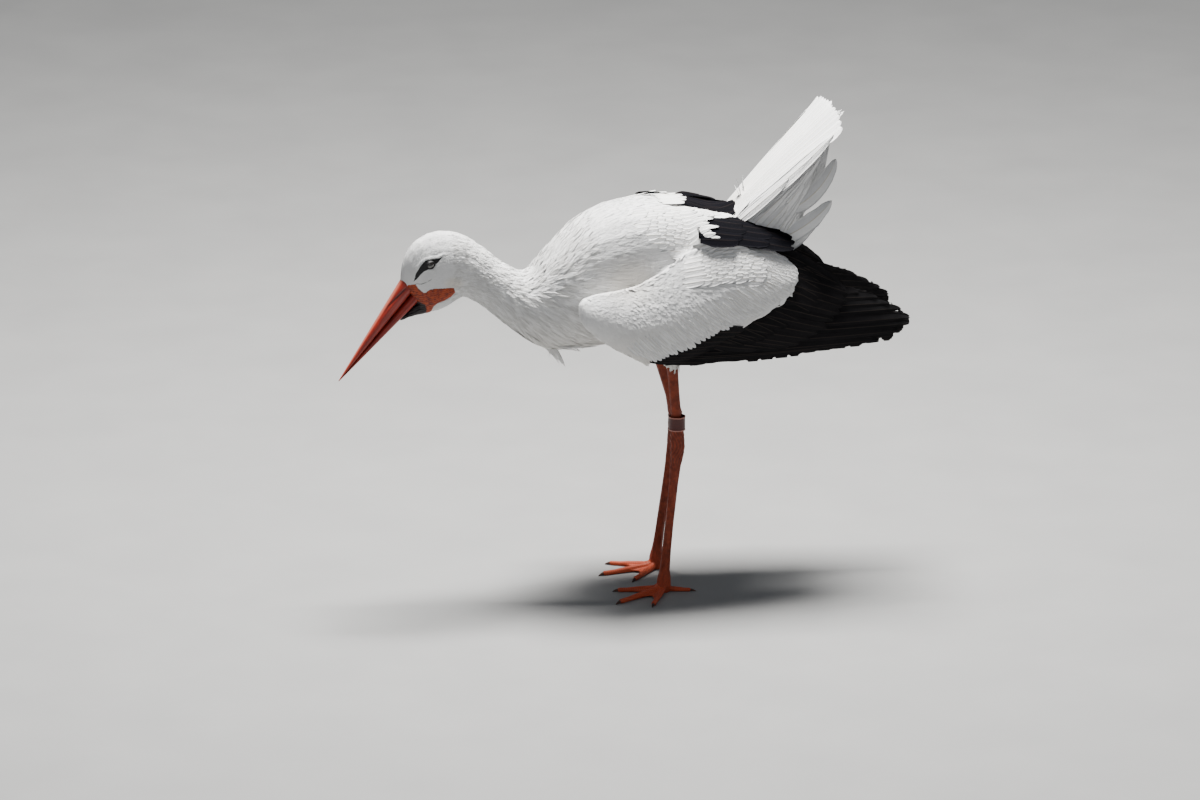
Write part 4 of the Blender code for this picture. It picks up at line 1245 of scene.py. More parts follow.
MEDIAN_COVERTS = [  # white, with their tips on the coverts' ragged edge
    (-0.055, 0.4140, -0.0270, 0.3820, 0.000, 0.0046, 0.0046),
    (-0.030, 0.4220, 0.0000, 0.3905, 0.000, 0.0046, 0.0046),
    (0.000, 0.4320, 0.0310, 0.4010, 0.000, 0.0046, 0.0046),
    (0.028, 0.4460, 0.0602, 0.4160, 0.000, 0.0048, 0.0048),
    (0.053, 0.4550, 0.0860, 0.4260, 0.000, 0.0048, 0.0048),
    (0.077, 0.4640, 0.1110, 0.4355, 0.001, 0.0050, 0.0050),
    (0.101, 0.4700, 0.1370, 0.4430, 0.001, 0.0052, 0.0052),
    (0.112, 0.4800, 0.1490, 0.4545, 0.001, 0.0052, 0.0052),
    (0.137, 0.4860, 0.1765, 0.4650, 0.001, 0.0054, 0.0054),
    (0.147, 0.4970, 0.1890, 0.4785, 0.001, 0.0056, 0.0056),
    (0.149, 0.5110, 0.1925, 0.4990, 0.002, 0.0056, 0.0056),
    (0.126, 0.5270, 0.1700, 0.5150, 0.003, 0.0056, 0.0056),
    (0.092, 0.5380, 0.1375, 0.5290, 0.003, 0.0056, 0.0056),
    (0.060, 0.5460, 0.1050, 0.5390, 0.003, 0.0056, 0.0056),
]
WING_LOW, WING_HIGH = (-0.16, 0.350), (0.42, 0.610)  # what the wing's drapes cover, in side view

# The scapulars lie on a roof that slopes down from the back on each side. Rows give a feather's root and its
# tip, each as how far back it is and how far down the roof.

ROOF = radians(33.7)  # how steep it is
ROOF_TOP = 0.3025  # its inner edge lies this far above the drape's zero
ROOF_LOW, ROOF_HIGH = (-0.10, -0.36), (0.26, -0.14)
# How far down the black begins. On the left, the back's white covers more of it.
INNER_EDGE = {"left": 0.014, "right": -0.042}
INNER_LIFT = {"left": 0.0036, "right": 0.0062}
SCAPULARS = [  # from the lowest layer up: the lift of a root, how much higher the tip is, and the feathers
    (-0.0016, 0.0012, [
        (0.070, 0.012, 0.150, 0.028), (0.080, 0.024, 0.176, 0.043), (0.085, 0.036, 0.192, 0.056),
        (0.085, 0.050, 0.194, 0.065), (0.080, 0.064, 0.190, 0.077),
    ]),
    (-0.0014, 0.0020, [
        (0.055, 0.006, 0.120, 0.018), (0.060, 0.016, 0.140, 0.032), (0.062, 0.028, 0.155, 0.046),
        (0.062, 0.042, 0.160, 0.058), (0.060, 0.060, 0.152, 0.073),
    ]),
    (-0.0012, 0.0026, [
        (0.044, 0.003, 0.095, 0.011), (0.046, 0.012, 0.110, 0.024), (0.048, 0.026, 0.118, 0.038),
        (0.048, 0.040, 0.120, 0.051), (0.046, 0.054, 0.112, 0.064), (0.046, 0.066, 0.104, 0.072),
    ]),
]  # fmt: skip
INNER_SCAPULARS = [  # at the roof's inner edge, over the back's feathers
    (0.058, -0.038, 0.118, -0.033), (0.060, -0.028, 0.125, -0.022), (0.060, -0.017, 0.125, -0.008),
    (0.060, -0.006, 0.130, 0.004), (0.034, -0.034, 0.100, -0.030), (0.034, -0.025, 0.100, -0.021),
    (0.032, -0.016, 0.098, -0.010), (0.030, -0.007, 0.098, 0.000), (0.028, 0.002, 0.100, 0.010),
    (0.010, 0.002, 0.076, 0.006), (0.010, 0.010, 0.078, 0.016), (-0.016, 0.006, 0.048, 0.009),
    (-0.018, 0.014, 0.050, 0.018),
]  # fmt: skip
WHITE_TIPS = [  # the pointed white feathers that end on the black ones
    (0.010, 0.000, 0.046, 0.002), (0.010, 0.006, 0.050, 0.008), (0.010, 0.012, 0.052, 0.015),
    (0.012, 0.018, 0.060, 0.022), (0.014, 0.025, 0.0735, 0.030), (0.012, 0.031, 0.060, 0.035),
    (0.012, 0.037, 0.064, 0.041), (0.016, 0.043, 0.0775, 0.048), (0.012, 0.050, 0.062, 0.054),
    (0.016, 0.057, 0.070, 0.061), (0.032, 0.064, 0.0760, 0.067), (0.028, 0.070, 0.0700, 0.073),
]  # fmt: skip
INNER_TIPS = [  # those that end on the front of the right side's inner black ones
    (0.006, -0.041, 0.040, -0.039), (0.002, -0.036, 0.037, -0.034), (0.008, -0.030, 0.046, -0.028),
    (0.004, -0.024, 0.040, -0.021), (0.010, -0.018, 0.050, -0.015), (0.004, -0.013, 0.043, -0.010),
    (0.006, -0.007, 0.047, -0.005), (0.000, -0.002, 0.038, 0.000), (-0.008, 0.002, 0.026, 0.003),
    (-0.020, 0.004, 0.010, 0.005),
]  # fmt: skip
SIDE_SEEDS = {"left": 0, "right": 1}
CORE_VOXEL, CORE_DEPTH = 0.0034, 0.0038


def white_border(back):
    """How far down the roof the white begins, this far back."""
    return float(np.interp(back, (0.080, 0.090, 0.107, 0.1375, 0.173), (0.0, 0.070, 0.0733, 0.0796, 0.0869)))


def lay_fan(vanes, drape, table, count, lift, rise, tilt, **form):
    """A fan of so many feathers, spread evenly over the rows of a table."""
    for i in range(count):
        row = between(table, (len(table) - 1) * i / (count - 1))
        jitter = vanes.rng.normal(0, 0.0009, 4)
        root, tip = row[0:2] + jitter[0:2], row[2:4] + jitter[2:4]
        bow = row[4] * 2 + vanes.rng.normal(0, 0.001)
        raised = lift + vanes.rng.normal(0, 0.0001)
        vanes.lay(drape, root, tip, bow, row[5], row[6], raised, rise, tilt, **form)


def make_core(name, nodes, material):
    """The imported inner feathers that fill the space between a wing's two faces."""
    points, quads = fused(nodes, 0.0004, CORE_VOXEL)
    points = smoothed(points, quads, 2)
    points = sink(points, quads, np.full(len(points), CORE_DEPTH))
    mesh = new_mesh(name, points, quads)
    values = np.full((len(points), 4), (0.0, 0.0, 0.2, 0.5))
    values[:, 0] = 0.5 * np.sin(points[:, 2] * 700)
    values[:, 1] = np.clip(points[:, 0] * 2, 0, 0.9)
    add_values(mesh, "vane", values)
    unwrap(show(name, mesh, "black_feather", material, replaced=nodes))


def make_flight_feathers(side, coverts, material):
    """Primaries and secondaries on both faces of a wing, and the black coverts on its outer face."""
    name, sign = f"wing_{side}", SIDES[side]
    drapes = {}
    for face, out in (("outer", sign), ("inner", -sign)):
        for layer in ("secondaries", "primaries"):
            plane = ((1, 0, 0), (0, 0, 1), (0, out, 0), WING_LOW, WING_HIGH)
            drapes[face, layer] = Drape([f"{name}_{layer}"], *plane)
    vanes = Vanes(20 + SIDE_SEEDS[side])
    for face, tilt in (("inner", -0.0005), ("outer", 0.0005)):
        lay_fan(vanes, drapes[face, "primaries"], PRIMARIES, 10, -0.0006, 0.0008, tilt, tip_start=0.72)
        lay_fan(vanes, drapes[face, "secondaries"], SECONDARIES, 17, -0.0004, 0.0008, tilt)
    for drape, table, count, lift, rise, camber in (
        (drapes["outer", "secondaries"], GREATER_COVERTS, 15, -0.0008, 0.0018, 0.0008),
        (coverts, LOWER_COVERTS, 9, -0.0022, 0.0012, 0.0006),
    ):
        lay_fan(vanes, drape, table, count, lift, rise, 0.0004, camber=camber, tip_start=0.80)
    vanes.show(f"{name}_flight_feathers", "black_feather", material)


def make_median_coverts(side, coverts, material):
    """The last rows of white coverts, each a step further forward and lying over the one behind."""
    vanes = Vanes(30 + SIDE_SEEDS[side], 9)
    for row in range(4):
        back = 0.009 * row
        moved = []
        for x, z, tip_x, tip_z, *rest in MEDIAN_COVERTS:
            up = 0.004 * row * float(fade(z, 0.515, 0.480))
            moved.append((x - back, z + up, tip_x - back, tip_z + up, *rest))
        lift, rise = -0.0024 + 0.0003 * row, 0.0038 - 0.0006 * row
        lay_fan(vanes, coverts, moved, 58 - row, lift, rise, 0.0001, camber=0.0003, tip_start=0.60)
    vanes.show(f"wing_{side}_median_coverts", "white_feather", material)


def on_roof(back, down, tip_back, tip_down):
    """A scapular's root and tip in the plane of a drape over the roof."""
    return (back, down - ROOF_TOP), (tip_back, tip_down - ROOF_TOP)


def make_black_scapulars(side, roof, shoulder, material):
    vanes = Vanes(40 + SIDE_SEEDS[side])
    for lift, rise, rows in SCAPULARS:
        for row in rows:
            if row[1] > INNER_EDGE[side]:
                vanes.lay(roof, *on_roof(*row), 0.003, 0.0115, 0.0115, lift, rise, -0.0004, tip_start=0.70)
    lift = INNER_LIFT[side]
    for row in INNER_SCAPULARS:
        if row[1] > INNER_EDGE[side]:
            vanes.lay(shoulder, *on_roof(*row), 0.002, 0.0100, 0.0100, lift, 0.0004, 0.0, tip_start=0.70)
    vanes.show(f"wing_{side}_scapulars_black", "black_feather", material)


def make_white_scapulars(side, shoulder, material):
    """Small white feathers inside, in front of and outside the black ones, and those that end on them."""
    inner_edge = INNER_EDGE[side]
    # For each patch: rows and columns; start, gap, jitter and reach along the back, and then down the roof;
    # half width; the first row's lift, what each row adds to it, and how much higher the tips are; and where
    # feathers may start.
    patches = [
        (10, 5, (0.024, 0.0105, 0.0015, 0.034), (-0.006, 0.0058, 0.0006, 0.001),
         0.0058, (-0.0006, 0, 0.0032), lambda row, back, down: down < inner_edge + 0.008 * (1 - row / 9)),
        (8, 16, (-0.060, 0.0125, 0.003, 0.036), (0.001, 0.0068, 0.0008, 0.003),
         0.0062, (-0.0028, 0.00015, 0.0044), lambda row, back, down: down < 0.072 + 0.5 * back),
        (11, 8, (0.012, 0.0095, 0.0015, 0.036), (0.070, 0.0062, 0.0008, 0.002),
         0.0056, (-0.0012, 0, 0.0034), lambda row, back, down: down > white_border(back + 0.036) + 0.003),
    ]  # fmt: skip
    vanes = Vanes(50 + SIDE_SEEDS[side], 10)
    for rows, columns, along, across, half, (first, more, rise), allowed in patches:
        for row in range(rows):
            lift = first + more * row
            for column in range(columns):
                back = along[0] + along[1] * row + vanes.rng.normal(0, along[2])
                down = across[0] + across[1] * (column + 0.5 * (row % 2)) + vanes.rng.normal(0, across[2])
                if allowed(row, back, down):
                    root, tip = on_roof(back, down, back + along[3], down + across[3])
                    vanes.lay(shoulder, root, tip, 0.001, half, half, lift, rise, 0.0, 0.0006, 0.40)
    for row in WHITE_TIPS if side == "left" else WHITE_TIPS[3:]:
        vanes.lay(shoulder, *on_roof(*row), 0.002, 0.0052, 0.0052, -0.0004, 0.0042, -0.0003, 0.0010, 0.30)
    for row in INNER_TIPS if side == "right" else []:
        vanes.lay(shoulder, *on_roof(*row), 0.002, 0.0056, 0.0056, 0.0010, 0.0078, -0.0003, 0.0010, 0.30)
    vanes.show(f"wing_{side}_scapulars_white", "white_feather", material)


def make_wing(side, black, shaded_black, white):
    name, sign = f"wing_{side}", SIDES[side]
    layers = [f"{name}_{layer}" for layer in ("scapulars", "secondaries", "primaries")]
    make_core(f"{name}_core", layers, black)
    layers = [f"{name}_coverts"] + layers[1:]
    coverts = Drape(layers, (1, 0, 0), (0, 0, 1), (0, sign, 0), WING_LOW, WING_HIGH, rounds=3)
    make_flight_feathers(side, coverts, black)
    make_median_coverts(side, coverts, white)

    slope = (0, sign * cos(ROOF), -sin(ROOF))
    out = (0, sign * sin(ROOF), cos(ROOF))
    plane = ((1, 0, 0), slope, out, ROOF_LOW, ROOF_HIGH)
    roof = Drape([f"{name}_scapulars"], *plane)
    shoulder = Drape(["trunk", f"{name}_scapulars", f"{name}_coverts"], *plane, rounds=8)
    make_black_scapulars(side, roof, shoulder, shaded_black)
    make_white_scapulars(side, shoulder, white)


# The tail.

TAIL_ROOT = (0.098, 0.556)
TAIL_TURN = radians(44.5)
RECTRICES = 12
TAIL_LENGTH = 0.241


def make_tail(white):
    """The fan, from its outer feathers in, and the small feathers of the rump over its root."""
    along = (cos(TAIL_TURN), 0, sin(TAIL_TURN))
    up = (-sin(TAIL_TURN), 0, cos(TAIL_TURN))
    base = TAIL_ROOT[0] * cos(TAIL_TURN) + TAIL_ROOT[1] * sin(TAIL_TURN)
    low, high = (base - 0.08, -0.12), (base + 0.28, 0.12)
    fan = Drape(["tail"], along, (0, 1, 0), up, low, high, rounds=8)
    vanes = Vanes(60)
    for k in range(RECTRICES // 2 - 1, -1, -1):
        out = (k + 0.5) / (RECTRICES / 2)
        for hand in (-1, 1):
            reach = TAIL_LENGTH - (0.016 if hand < 0 else 0.010) * out**2 + vanes.rng.normal(0, 0.0012)
            root = (base - 0.010, hand * (0.003 + 0.014 * out))
            tip = (base + reach, hand * 0.081 * out)
            lift = 0.0010 - 0.0004 * k + (0.0002 + 0.0003 * k if hand > 0 else 0)
            low_half, high_half = (0.0160, 0.0105) if hand > 0 else (0.0105, 0.0160)
            vanes.lay(fan, root, tip, hand * -0.006, low_half, high_half, lift, 0.0, 0.0, 0.0012, 0.90, 0.4)
    rump = Drape(["tail", "trunk"], along, (0, 1, 0), up, low, high, rounds=16)
    for row in range(6):
        start, length = 0.030 - 0.016 * row, 0.075 - 0.004 * row
        count = 9 + row % 2
        for i in range(count):
            across = 2 * i / (count - 1) - 1 + vanes.rng.normal(0, 0.03)
            reach = base + start + length * (1 - 0.12 * across**2) + vanes.rng.normal(0, 0.002)
            root, tip = (base + start, 0.020 * across), (reach, 0.032 * across)
            vanes.lay(rump, root, tip, 0.0, 0.0068, 0.0068, -0.0014, 0.0016, 0.0, 0.0008, 0.45, 0.5)
    vanes.show("tail_feathers", "white_feather", white, replaced=["tail"])


# The soft feathers beside and under the tail, on its left from the edge down: root, bend, tip and half width.
SIDE_COVERTS = [
    (0.104, 0.036, 0.556, 0.180, 0.064, 0.625, 0.250, 0.080, 0.699, 0.0095),
    (0.110, 0.038, 0.545, 0.184, 0.062, 0.613, 0.244, 0.072, 0.686, 0.0105),
    (0.115, 0.041, 0.534, 0.186, 0.061, 0.600, 0.235, 0.067, 0.670, 0.0110),
    (0.120, 0.042, 0.522, 0.189, 0.060, 0.586, 0.228, 0.062, 0.653, 0.0120),
    (0.124, 0.043, 0.512, 0.192, 0.058, 0.568, 0.224, 0.056, 0.636, 0.0125),
    (0.128, 0.042, 0.498, 0.190, 0.056, 0.548, 0.217, 0.050, 0.610, 0.0125),
    (0.130, 0.041, 0.484, 0.184, 0.053, 0.528, 0.213, 0.046, 0.582, 0.0125),
    (0.130, 0.039, 0.470, 0.177, 0.048, 0.508, 0.205, 0.040, 0.556, 0.0120),
    (0.128, 0.034, 0.458, 0.174, 0.038, 0.492, 0.202, 0.026, 0.534, 0.0120),
    (0.126, 0.022, 0.450, 0.170, 0.022, 0.484, 0.196, 0.010, 0.524, 0.0120),
]
# Those whose tips stand free: side, root, bend, tip and half width.
LOOSE_COVERTS = [
    (-1, (0.175, -0.050, 0.575), (0.235, -0.062, 0.596), (0.263, -0.046, 0.653), 0.0135),
    (-1, (0.155, -0.048, 0.532), (0.212, -0.062, 0.546), (0.257, -0.046, 0.589), 0.0140),
    (-1, (0.150, -0.044, 0.512), (0.200, -0.056, 0.522), (0.240, -0.042, 0.566), 0.0110),
    (-1, (0.145, -0.040, 0.490), (0.180, -0.048, 0.504), (0.212, -0.036, 0.540), 0.0120),
    (1, (0.150, 0.012, 0.490), (0.200, 0.024, 0.505), (0.225, 0.020, 0.541), 0.0130),
    (1, (0.185, 0.046, 0.580), (0.232, 0.060, 0.606), (0.262, 0.044, 0.646), 0.0130),
    (1, (0.165, 0.044, 0.535), (0.215, 0.058, 0.556), (0.248, 0.042, 0.598), 0.0130),
]


# Their layers: share of the length, how far out, and share of the width.
SIDE_LAYERS = [(1.0, 0.0, 1.0), (0.78, 0.0016, 0.90), (0.55, 0.0030, 0.80)]
RIGHT_SIDE_OUT = 0.84  # how far out the right side's are, next to the left's


def make_undertail(white):
    vanes = Vanes(70, 14)
    for sign in SIDES.values():
        for share, out, narrow in SIDE_LAYERS:
            for i in range(len(SIDE_COVERTS) * 2 - 1):
                row = between(SIDE_COVERTS, i / 2) + np.append(vanes.rng.normal(0, 0.0012, 9), 0)
                root, bend, tip = row[0:3], row[3:6], row[6:9]
                middle = root + (bend - root) * share
                end = (1 - share) ** 2 * root + 2 * share * (1 - share) * bend + share**2 * tip
                places = [point + (0, out, 0) for point in (root, middle, end)]
                root, middle, end = (point * (1, RIGHT_SIDE_OUT if sign > 0 else -1, 1) for point in places)
                turned = float(fade(i, 3, 0))
                up = (0.05 - 0.43 * turned, sign * (1 - 0.35 * turned), 0.42 - 0.04 * i + 0.10 * turned)
                vanes.arc(root, middle, end, up, row[9] * narrow, 0.0015, 0.45)
    for sign, root, bend, tip, half in LOOSE_COVERTS:
        vanes.arc(root, bend, tip, (0.05, sign, 0.25), half, 0.0030, 0.35)
    plumes = [f"undertail_plume_{i}" for i in (1, 2, 3)]
    vanes.show("undertail_feathers", "white_feather", white, replaced=plumes)


# The wisps that hang off the breast: root, bend, tip.
BREAST_PLUMES = [
    ((-0.1960, -0.004, 0.3985), (-0.1640, -0.008, 0.3820), (-0.1370, -0.004, 0.3450)),
    ((-0.1900, 0.004, 0.3965), (-0.1660, 0.008, 0.3840), (-0.1500, 0.008, 0.3640)),
    ((-0.1760, 0.010, 0.3930), (-0.1500, 0.016, 0.3840), (-0.1300, 0.014, 0.3680)),
    ((-0.1700, -0.012, 0.3920), (-0.1400, -0.020, 0.3850), (-0.1180, -0.017, 0.3740)),
    ((-0.1560, -0.020, 0.3880), (-0.1250, -0.028, 0.3860), (-0.0960, -0.026, 0.3830)),
]
WISP_BLADES = 34  # in each wisp


def make_breast_plumes(white):
    vanes = Vanes(80, 8)
    for root, bend, tip in BREAST_PLUMES:
        for _ in range(WISP_BLADES):
            short = vanes.rng.random() ** 1.3 * 0.6
            spread = vanes.rng.normal(0, 1, 3)
            start = np.array(root) + (0.014 * abs(spread[0]), 0.008 * spread[1], 0.0015 * abs(spread[2]))
            end = np.array(tip) + (start - tip) * (short + 0.01)
            end = end + vanes.rng.normal(0, 0.005, 3) * (short + 0.12)
            middle = np.array(bend) + (start - root) * 0.5 + vanes.rng.normal(0, 0.0015, 3)
            half = vanes.rng.uniform(0.0007, 0.0015)
            facing = (vanes.rng.normal(0, 0.4), -1, vanes.rng.normal(0, 0.4))
            vanes.arc(start, middle, end, facing, half, 0.0002, 0.05, 0.9, 0.0002, 0.0001, 0.9)
    replaced = [f"breast_plume_{i}" for i in (1, 2, 3)]
    vanes.show("breast_feathers", "white_feather", white, replaced=replaced)


# The bill.

BILL_TIP = (-0.4845, 0.3490)
BILL_BASE_TOP = (-0.3890, 0.4985)
BILL_BASE_BOTTOM = (-0.3610, 0.4685)
MOUTH_LINE = 0.60  # how far down the bill's depth the mandibles meet
MOUTH_GAP = 0.006  # half of what is left open between them
BILL_ROWS, BILL_TURNS = 80, 64


def bill_point(t, top_share, bottom_share, angle):
    """A point of one mandible, and how far down that mandible it is. t is 0 at the face and 1 at the tip."""
    tip = np.array(BILL_TIP)
    top = np.array(BILL_BASE_TOP) + (tip - BILL_BASE_TOP) * t
    bottom = np.array(BILL_BASE_BOTTOM) + (tip - BILL_BASE_BOTTOM) * t
    half = 0.0118 * max(1 - t, 0.0) ** 0.8 + 0.0006 if t > 0 else 0.0124 * (1 + 2 * t)
    rise = np.sign(cos(angle)) * abs(cos(angle)) ** (2 / 2.3)
    across = np.sign(sin(angle)) * abs(sin(angle)) ** (2 / 2.3)
    middle = 0.55
    share = middle - rise * (middle if rise > 0 else 1 - middle)
    place = top + (bottom - top) * (top_share + (bottom_share - top_share) * share)
    return np.array((place[0], half * across, place[1])), share


def bill_relief(upper, t, share):
    """How much wider a mandible is than its plain form, and how deep in the nostril's groove the place is."""
    if not upper:
        line = np.exp(-(((share - 0.38) / 0.07) ** 2)) * float(fade(t, 0.85, 0.4))
        return 1 - 0.05 * line, 0.0
    centre = 0.42 - 1.25 * min(t, 0.22)
    open_part = float(fade(t, 0.34, 0.20) * fade(t, -0.02, 0.02))
    slit = np.exp(-(((share - centre) / 0.055) ** 2))
    ridge = np.exp(-(((share - centre - 0.17) / 0.09) ** 2)) * float(fade(t, 0.55, 0.2))
    return 1 - 0.20 * slit * open_part + 0.05 * ridge, slit * open_part


def make_bill(material):
    nodes = {"bill_upper": (0.0, MOUTH_LINE - MOUTH_GAP), "bill_lower": (MOUTH_LINE + MOUTH_GAP, 1.0)}
    for name, (top_share, bottom_share) in nodes.items():
        points, values = [], []
        upper = name == "bill_upper"
        for i in range(BILL_ROWS):
            t = -0.07 + (0.985 + 0.07) * (1 - (1 - i / (BILL_ROWS - 1)) ** 1.15)
            for j in range(BILL_TURNS):
                point, share = bill_point(t, top_share, bottom_share, 2 * pi * j / BILL_TURNS)
                widen, groove = bill_relief(upper, t, share)
                point[1] *= widen
                edge = float(fade(share, 0.86, 0.99)) if upper else float(fade(share, 0.14, 0.01))
                points.append(point)
                values.append((max(t, 0.0), share if upper else 0.5 + share / 2, groove, edge))
        faces = grid_faces(BILL_ROWS, BILL_TURNS, closed=True)[:, ::-1]
        caps = []
        for row, step in ((0, 1), (BILL_ROWS - 1, -1)):
            centre = len(points)
            ring = [row * BILL_TURNS + j for j in range(BILL_TURNS)]
            points.append(np.mean([points[k] for k in ring], axis=0))
            values.append(values[ring[0]])
            caps += [(centre, ring[j], ring[(j + 1) % BILL_TURNS])[::step] for j in range(BILL_TURNS)]
        mesh = new_mesh(name, np.array(points), faces, np.array(caps))
        add_values(mesh, "horn", np.array(values))
        unwrap(show(f"{name}_mandible", mesh, "bill_horn", material, replaced=[name]))


# The eyes.


IRIS_RADIUS = 0.0050


def make_eyes(material):
    """A ball in each socket, with its pole outwards and a cornea raised over the iris."""
    rows, turns = 30, 48
    for side, sign in SIDES.items():
        points, values = [], []
        for i in range(rows):
            polar = 1e-4 + pi * (i / (rows - 1)) ** 1.1 * 0.999
            front = polar < pi / 2
            out = sin(polar) * EYE_RADIUS
            cornea = 0.0006 * float(fade(out, IRIS_RADIUS, 0.0)) if front else 0.0
            y = sign * (EYE[1] + cos(polar) * EYE_RADIUS + cornea)
            for j in range(turns):
                turn = 2 * pi * j / turns
                points.append((EYE[0] + out * cos(turn), y, EYE[2] + out * sin(turn)))
                values.append((min(out / IRIS_RADIUS, 1.2) if front else 1.2, j / turns, 0, 0))
        faces = grid_faces(rows, turns, closed=True)
        faces = faces if sign < 0 else faces[:, ::-1]
        mesh = new_mesh(f"eyeball_{side}", np.array(points), faces)
        add_values(mesh, "ball", np.array(values))
        unwrap(show(f"eyeball_{side}", mesh, "eye_dark", material, replaced=[f"eye_{side}"]))


# The legs.

ANKLE = (0.205, 0.250)  # where its skin is wrinkled lengthwise, from and to
SCALES_ROUND, SCALE_HEIGHT = 11, 0.0042
TOE_SCALE = 0.0034
LEG_VOXEL = 0.0011


def scale_seams(around, height, seed):
    """How near each point is to a seam between irregular scales, and a random number for its scale."""
    nearest = np.full(len(around), 9.0)
    second = np.full(len(around), 9.0)
    chance = np.zeros(len(around))
    cell_u, cell_v = np.floor(around), np.floor(height)
    for du in (-1, 0, 1):
        for dv in (-1, 0, 1):
            u, v = cell_u + du, cell_v + dv
            wrapped = np.mod(u, SCALES_ROUND)
            noise = np.modf(np.abs(np.sin(wrapped * 12.9898 + v * 78.233 + seed) * 43758.5453))[0]
            other = np.modf(noise * 57.31)[0]
            middle = u + 0.5 + 0.5 * np.mod(v, 2) - 0.25 + 0.3 * (noise - 0.5)
            gap = np.hypot(middle - around, v + 0.3 + 0.4 * other - height)
            closer = gap < nearest
            second = np.where(closer, nearest, np.minimum(second, gap))
            chance = np.where(closer, noise, chance)
            nearest = np.where(closer, gap, nearest)
    return 1 - fade(second - nearest, 0.02, 0.16), chance


# The front toes' turns from straight ahead, outwards, and how far out the webs between them reach.
FRONT_TOES = (50, 14, -24)
FOOT_TURNS = {"left": 13, "right": -24}
WEB_REACH = 0.058


def make_webs(side, sign):
    """The webs between the front toes' roots, as thin closed fans with hollow edges."""
    tarsus = read(f"tarsus_{side}")[0]
    foot = tarsus[tarsus[:, 2] < 0.012].mean(axis=0)
    points, faces = [], []
    for first, second in zip(FRONT_TOES, FRONT_TOES[1:]):
        start = len(points)
        steps = 13
        for i in range(steps):
            share = i / (steps - 1)
            turn = radians(first + (second - first) * share + FOOT_TURNS[side])
            reach = WEB_REACH * (1 - 0.40 * sin(pi * share) ** 0.8)
            for out, thick in ((0.004, 0.0030), (0.5 * reach, 0.0020), (reach, 0.0011)):
                place = foot[:2] + out * np.array((-cos(turn), sign * sin(turn)))
                middle = 0.0048 - 0.0018 * out / reach
                points += [(*place, middle + thick), (*place, middle - thick)]
        ring = np.array((0, 2, 4, 5, 3, 1))
        for i in range(steps - 1):
            a, b = start + 6 * i + ring, start + 6 * (i + 1) + ring
            faces += [(a[k], a[(k + 1) % 6], b[(k + 1) % 6], b[k]) for k in range(6)]
        for row, step in ((start, 1), (start + 6 * (steps - 1), -1)):
            faces += [tuple((row + np.array(quad))[::step]) for quad in ((0, 1, 3, 2), (2, 3, 5, 4))]
    return outward(np.array(points), np.array(faces))


def make_toe_ends(side):
    """A round end on each toe, which the claw grows out of."""
    points, faces = [], []
    rows, turns = 9, 16
    for toe in TOES:
        flesh, claw = read(f"toe_{side}_{toe}")[0], read(f"claw_{side}_{toe}")[0]
        forward = unit(np.array([*(claw.mean(axis=0) - flesh.mean(axis=0))[:2], 0.0]))
        along = claw @ forward
        root = claw[along < along.min() + 0.0005]
        centre = root.mean(axis=0)
        end = flesh[flesh @ forward > (flesh @ forward).max() - 0.0005]
        radius = (end[:, 2].max() - end[:, 2].min()) / 2
        middle = np.array([centre[0], centre[1], end[:, 2].min() + radius]) - forward * 0.0006
        across = np.array((-forward[1], forward[0], 0.0))
        start = len(points)
        for i in range(rows):
            polar = pi * (0.01 + 0.98 * i / (rows - 1))
            for j in range(turns):
                turn = 2 * pi * j / turns
                ring = across * cos(turn) + np.array((0, 0, sin(turn)))
                points.append(middle + radius * (forward * 1.05 * cos(polar) + ring * 1.02 * sin(polar)))
        faces.append(grid_faces(rows, turns, closed=True) + start)
    points = np.array(points)
    points[:, 2] = np.maximum(points[:, 2], 0.0)
    return outward(points, np.concatenate(faces))


def outward(points, faces):
    """A closed mesh's points and its quads, turned so that they face out."""
    a, b, c, d = (points[faces[:, k]] - points.mean(axis=0) for k in range(4))
    volume = (a * (np.cross(b, c) + np.cross(c, d))).sum()
    return points, faces if volume > 0 else faces[:, ::-1]


def turns_round(points, top=0.36):
    """Each point's turn round the middle of the leg at its height, in whole turns."""
    z = points[:, 2]
    levels, held = [], []
    for level in np.linspace(0.0, top, 37):
        near = np.abs(z - max(level, 0.025)) < 0.006
        if near.any():
            levels.append(level)
            held.append(points[near].mean(axis=0))
    centre = np.stack([np.interp(z, levels, [place[k] for place in held]) for k in (0, 1)], axis=1)
    return np.arctan2(points[:, 1] - centre[:, 1], points[:, 0] - centre[:, 0]) / (2 * pi)


def leg_relief(points, normals, seed):
    """How far the scales and wrinkles move each point of a leg, and the four numbers of its material."""
    z = points[:, 2]
    foot = points[(z > 0.03) & (z < 0.06)].mean(axis=0)
    turn = turns_round(points)
    seam, chance = scale_seams(np.mod(turn, 1) * SCALES_ROUND, z / SCALE_HEIGHT, seed)
    out = np.hypot(points[:, 0] - foot[0], points[:, 1] - foot[1])
    on_toe = fade(out, 0.010, 0.016) * fade(z, 0.028, 0.016)
    rung = np.abs(np.mod(out / TOE_SCALE, 1) - 0.5) * 2
    toe_seam = fade(rung, 0.70, 0.95) * fade(normals[:, 2], 0.1, 0.6)
    seam = seam * (1 - on_toe) + toe_seam * on_toe
    at_ankle = fade(z, ANKLE[0] - 0.015, ANKLE[0]) * fade(z, ANKLE[1] + 0.010, ANKLE[1])
    wrinkle = np.sin(turn * 2 * pi * 11 + 6 * np.sin(z * 130))
    height = -0.00030 * seam + 0.00035 * wrinkle * at_ankle
    height += 0.00020 * np.sin(turn * 2 * pi * 7 + z * 60) * (1 - on_toe) * fade(z, 0.24, 0.20)
    groove = at_ankle * fade(wrinkle, -0.3, -0.9)
    # The toes and the lowest part of the foot are paler salmon.
    near_toes = np.maximum(on_toe, fade(z, 0.05, 0.0) * 0.7)
    return height, np.stack([seam, chance, near_toes, groove], axis=1)


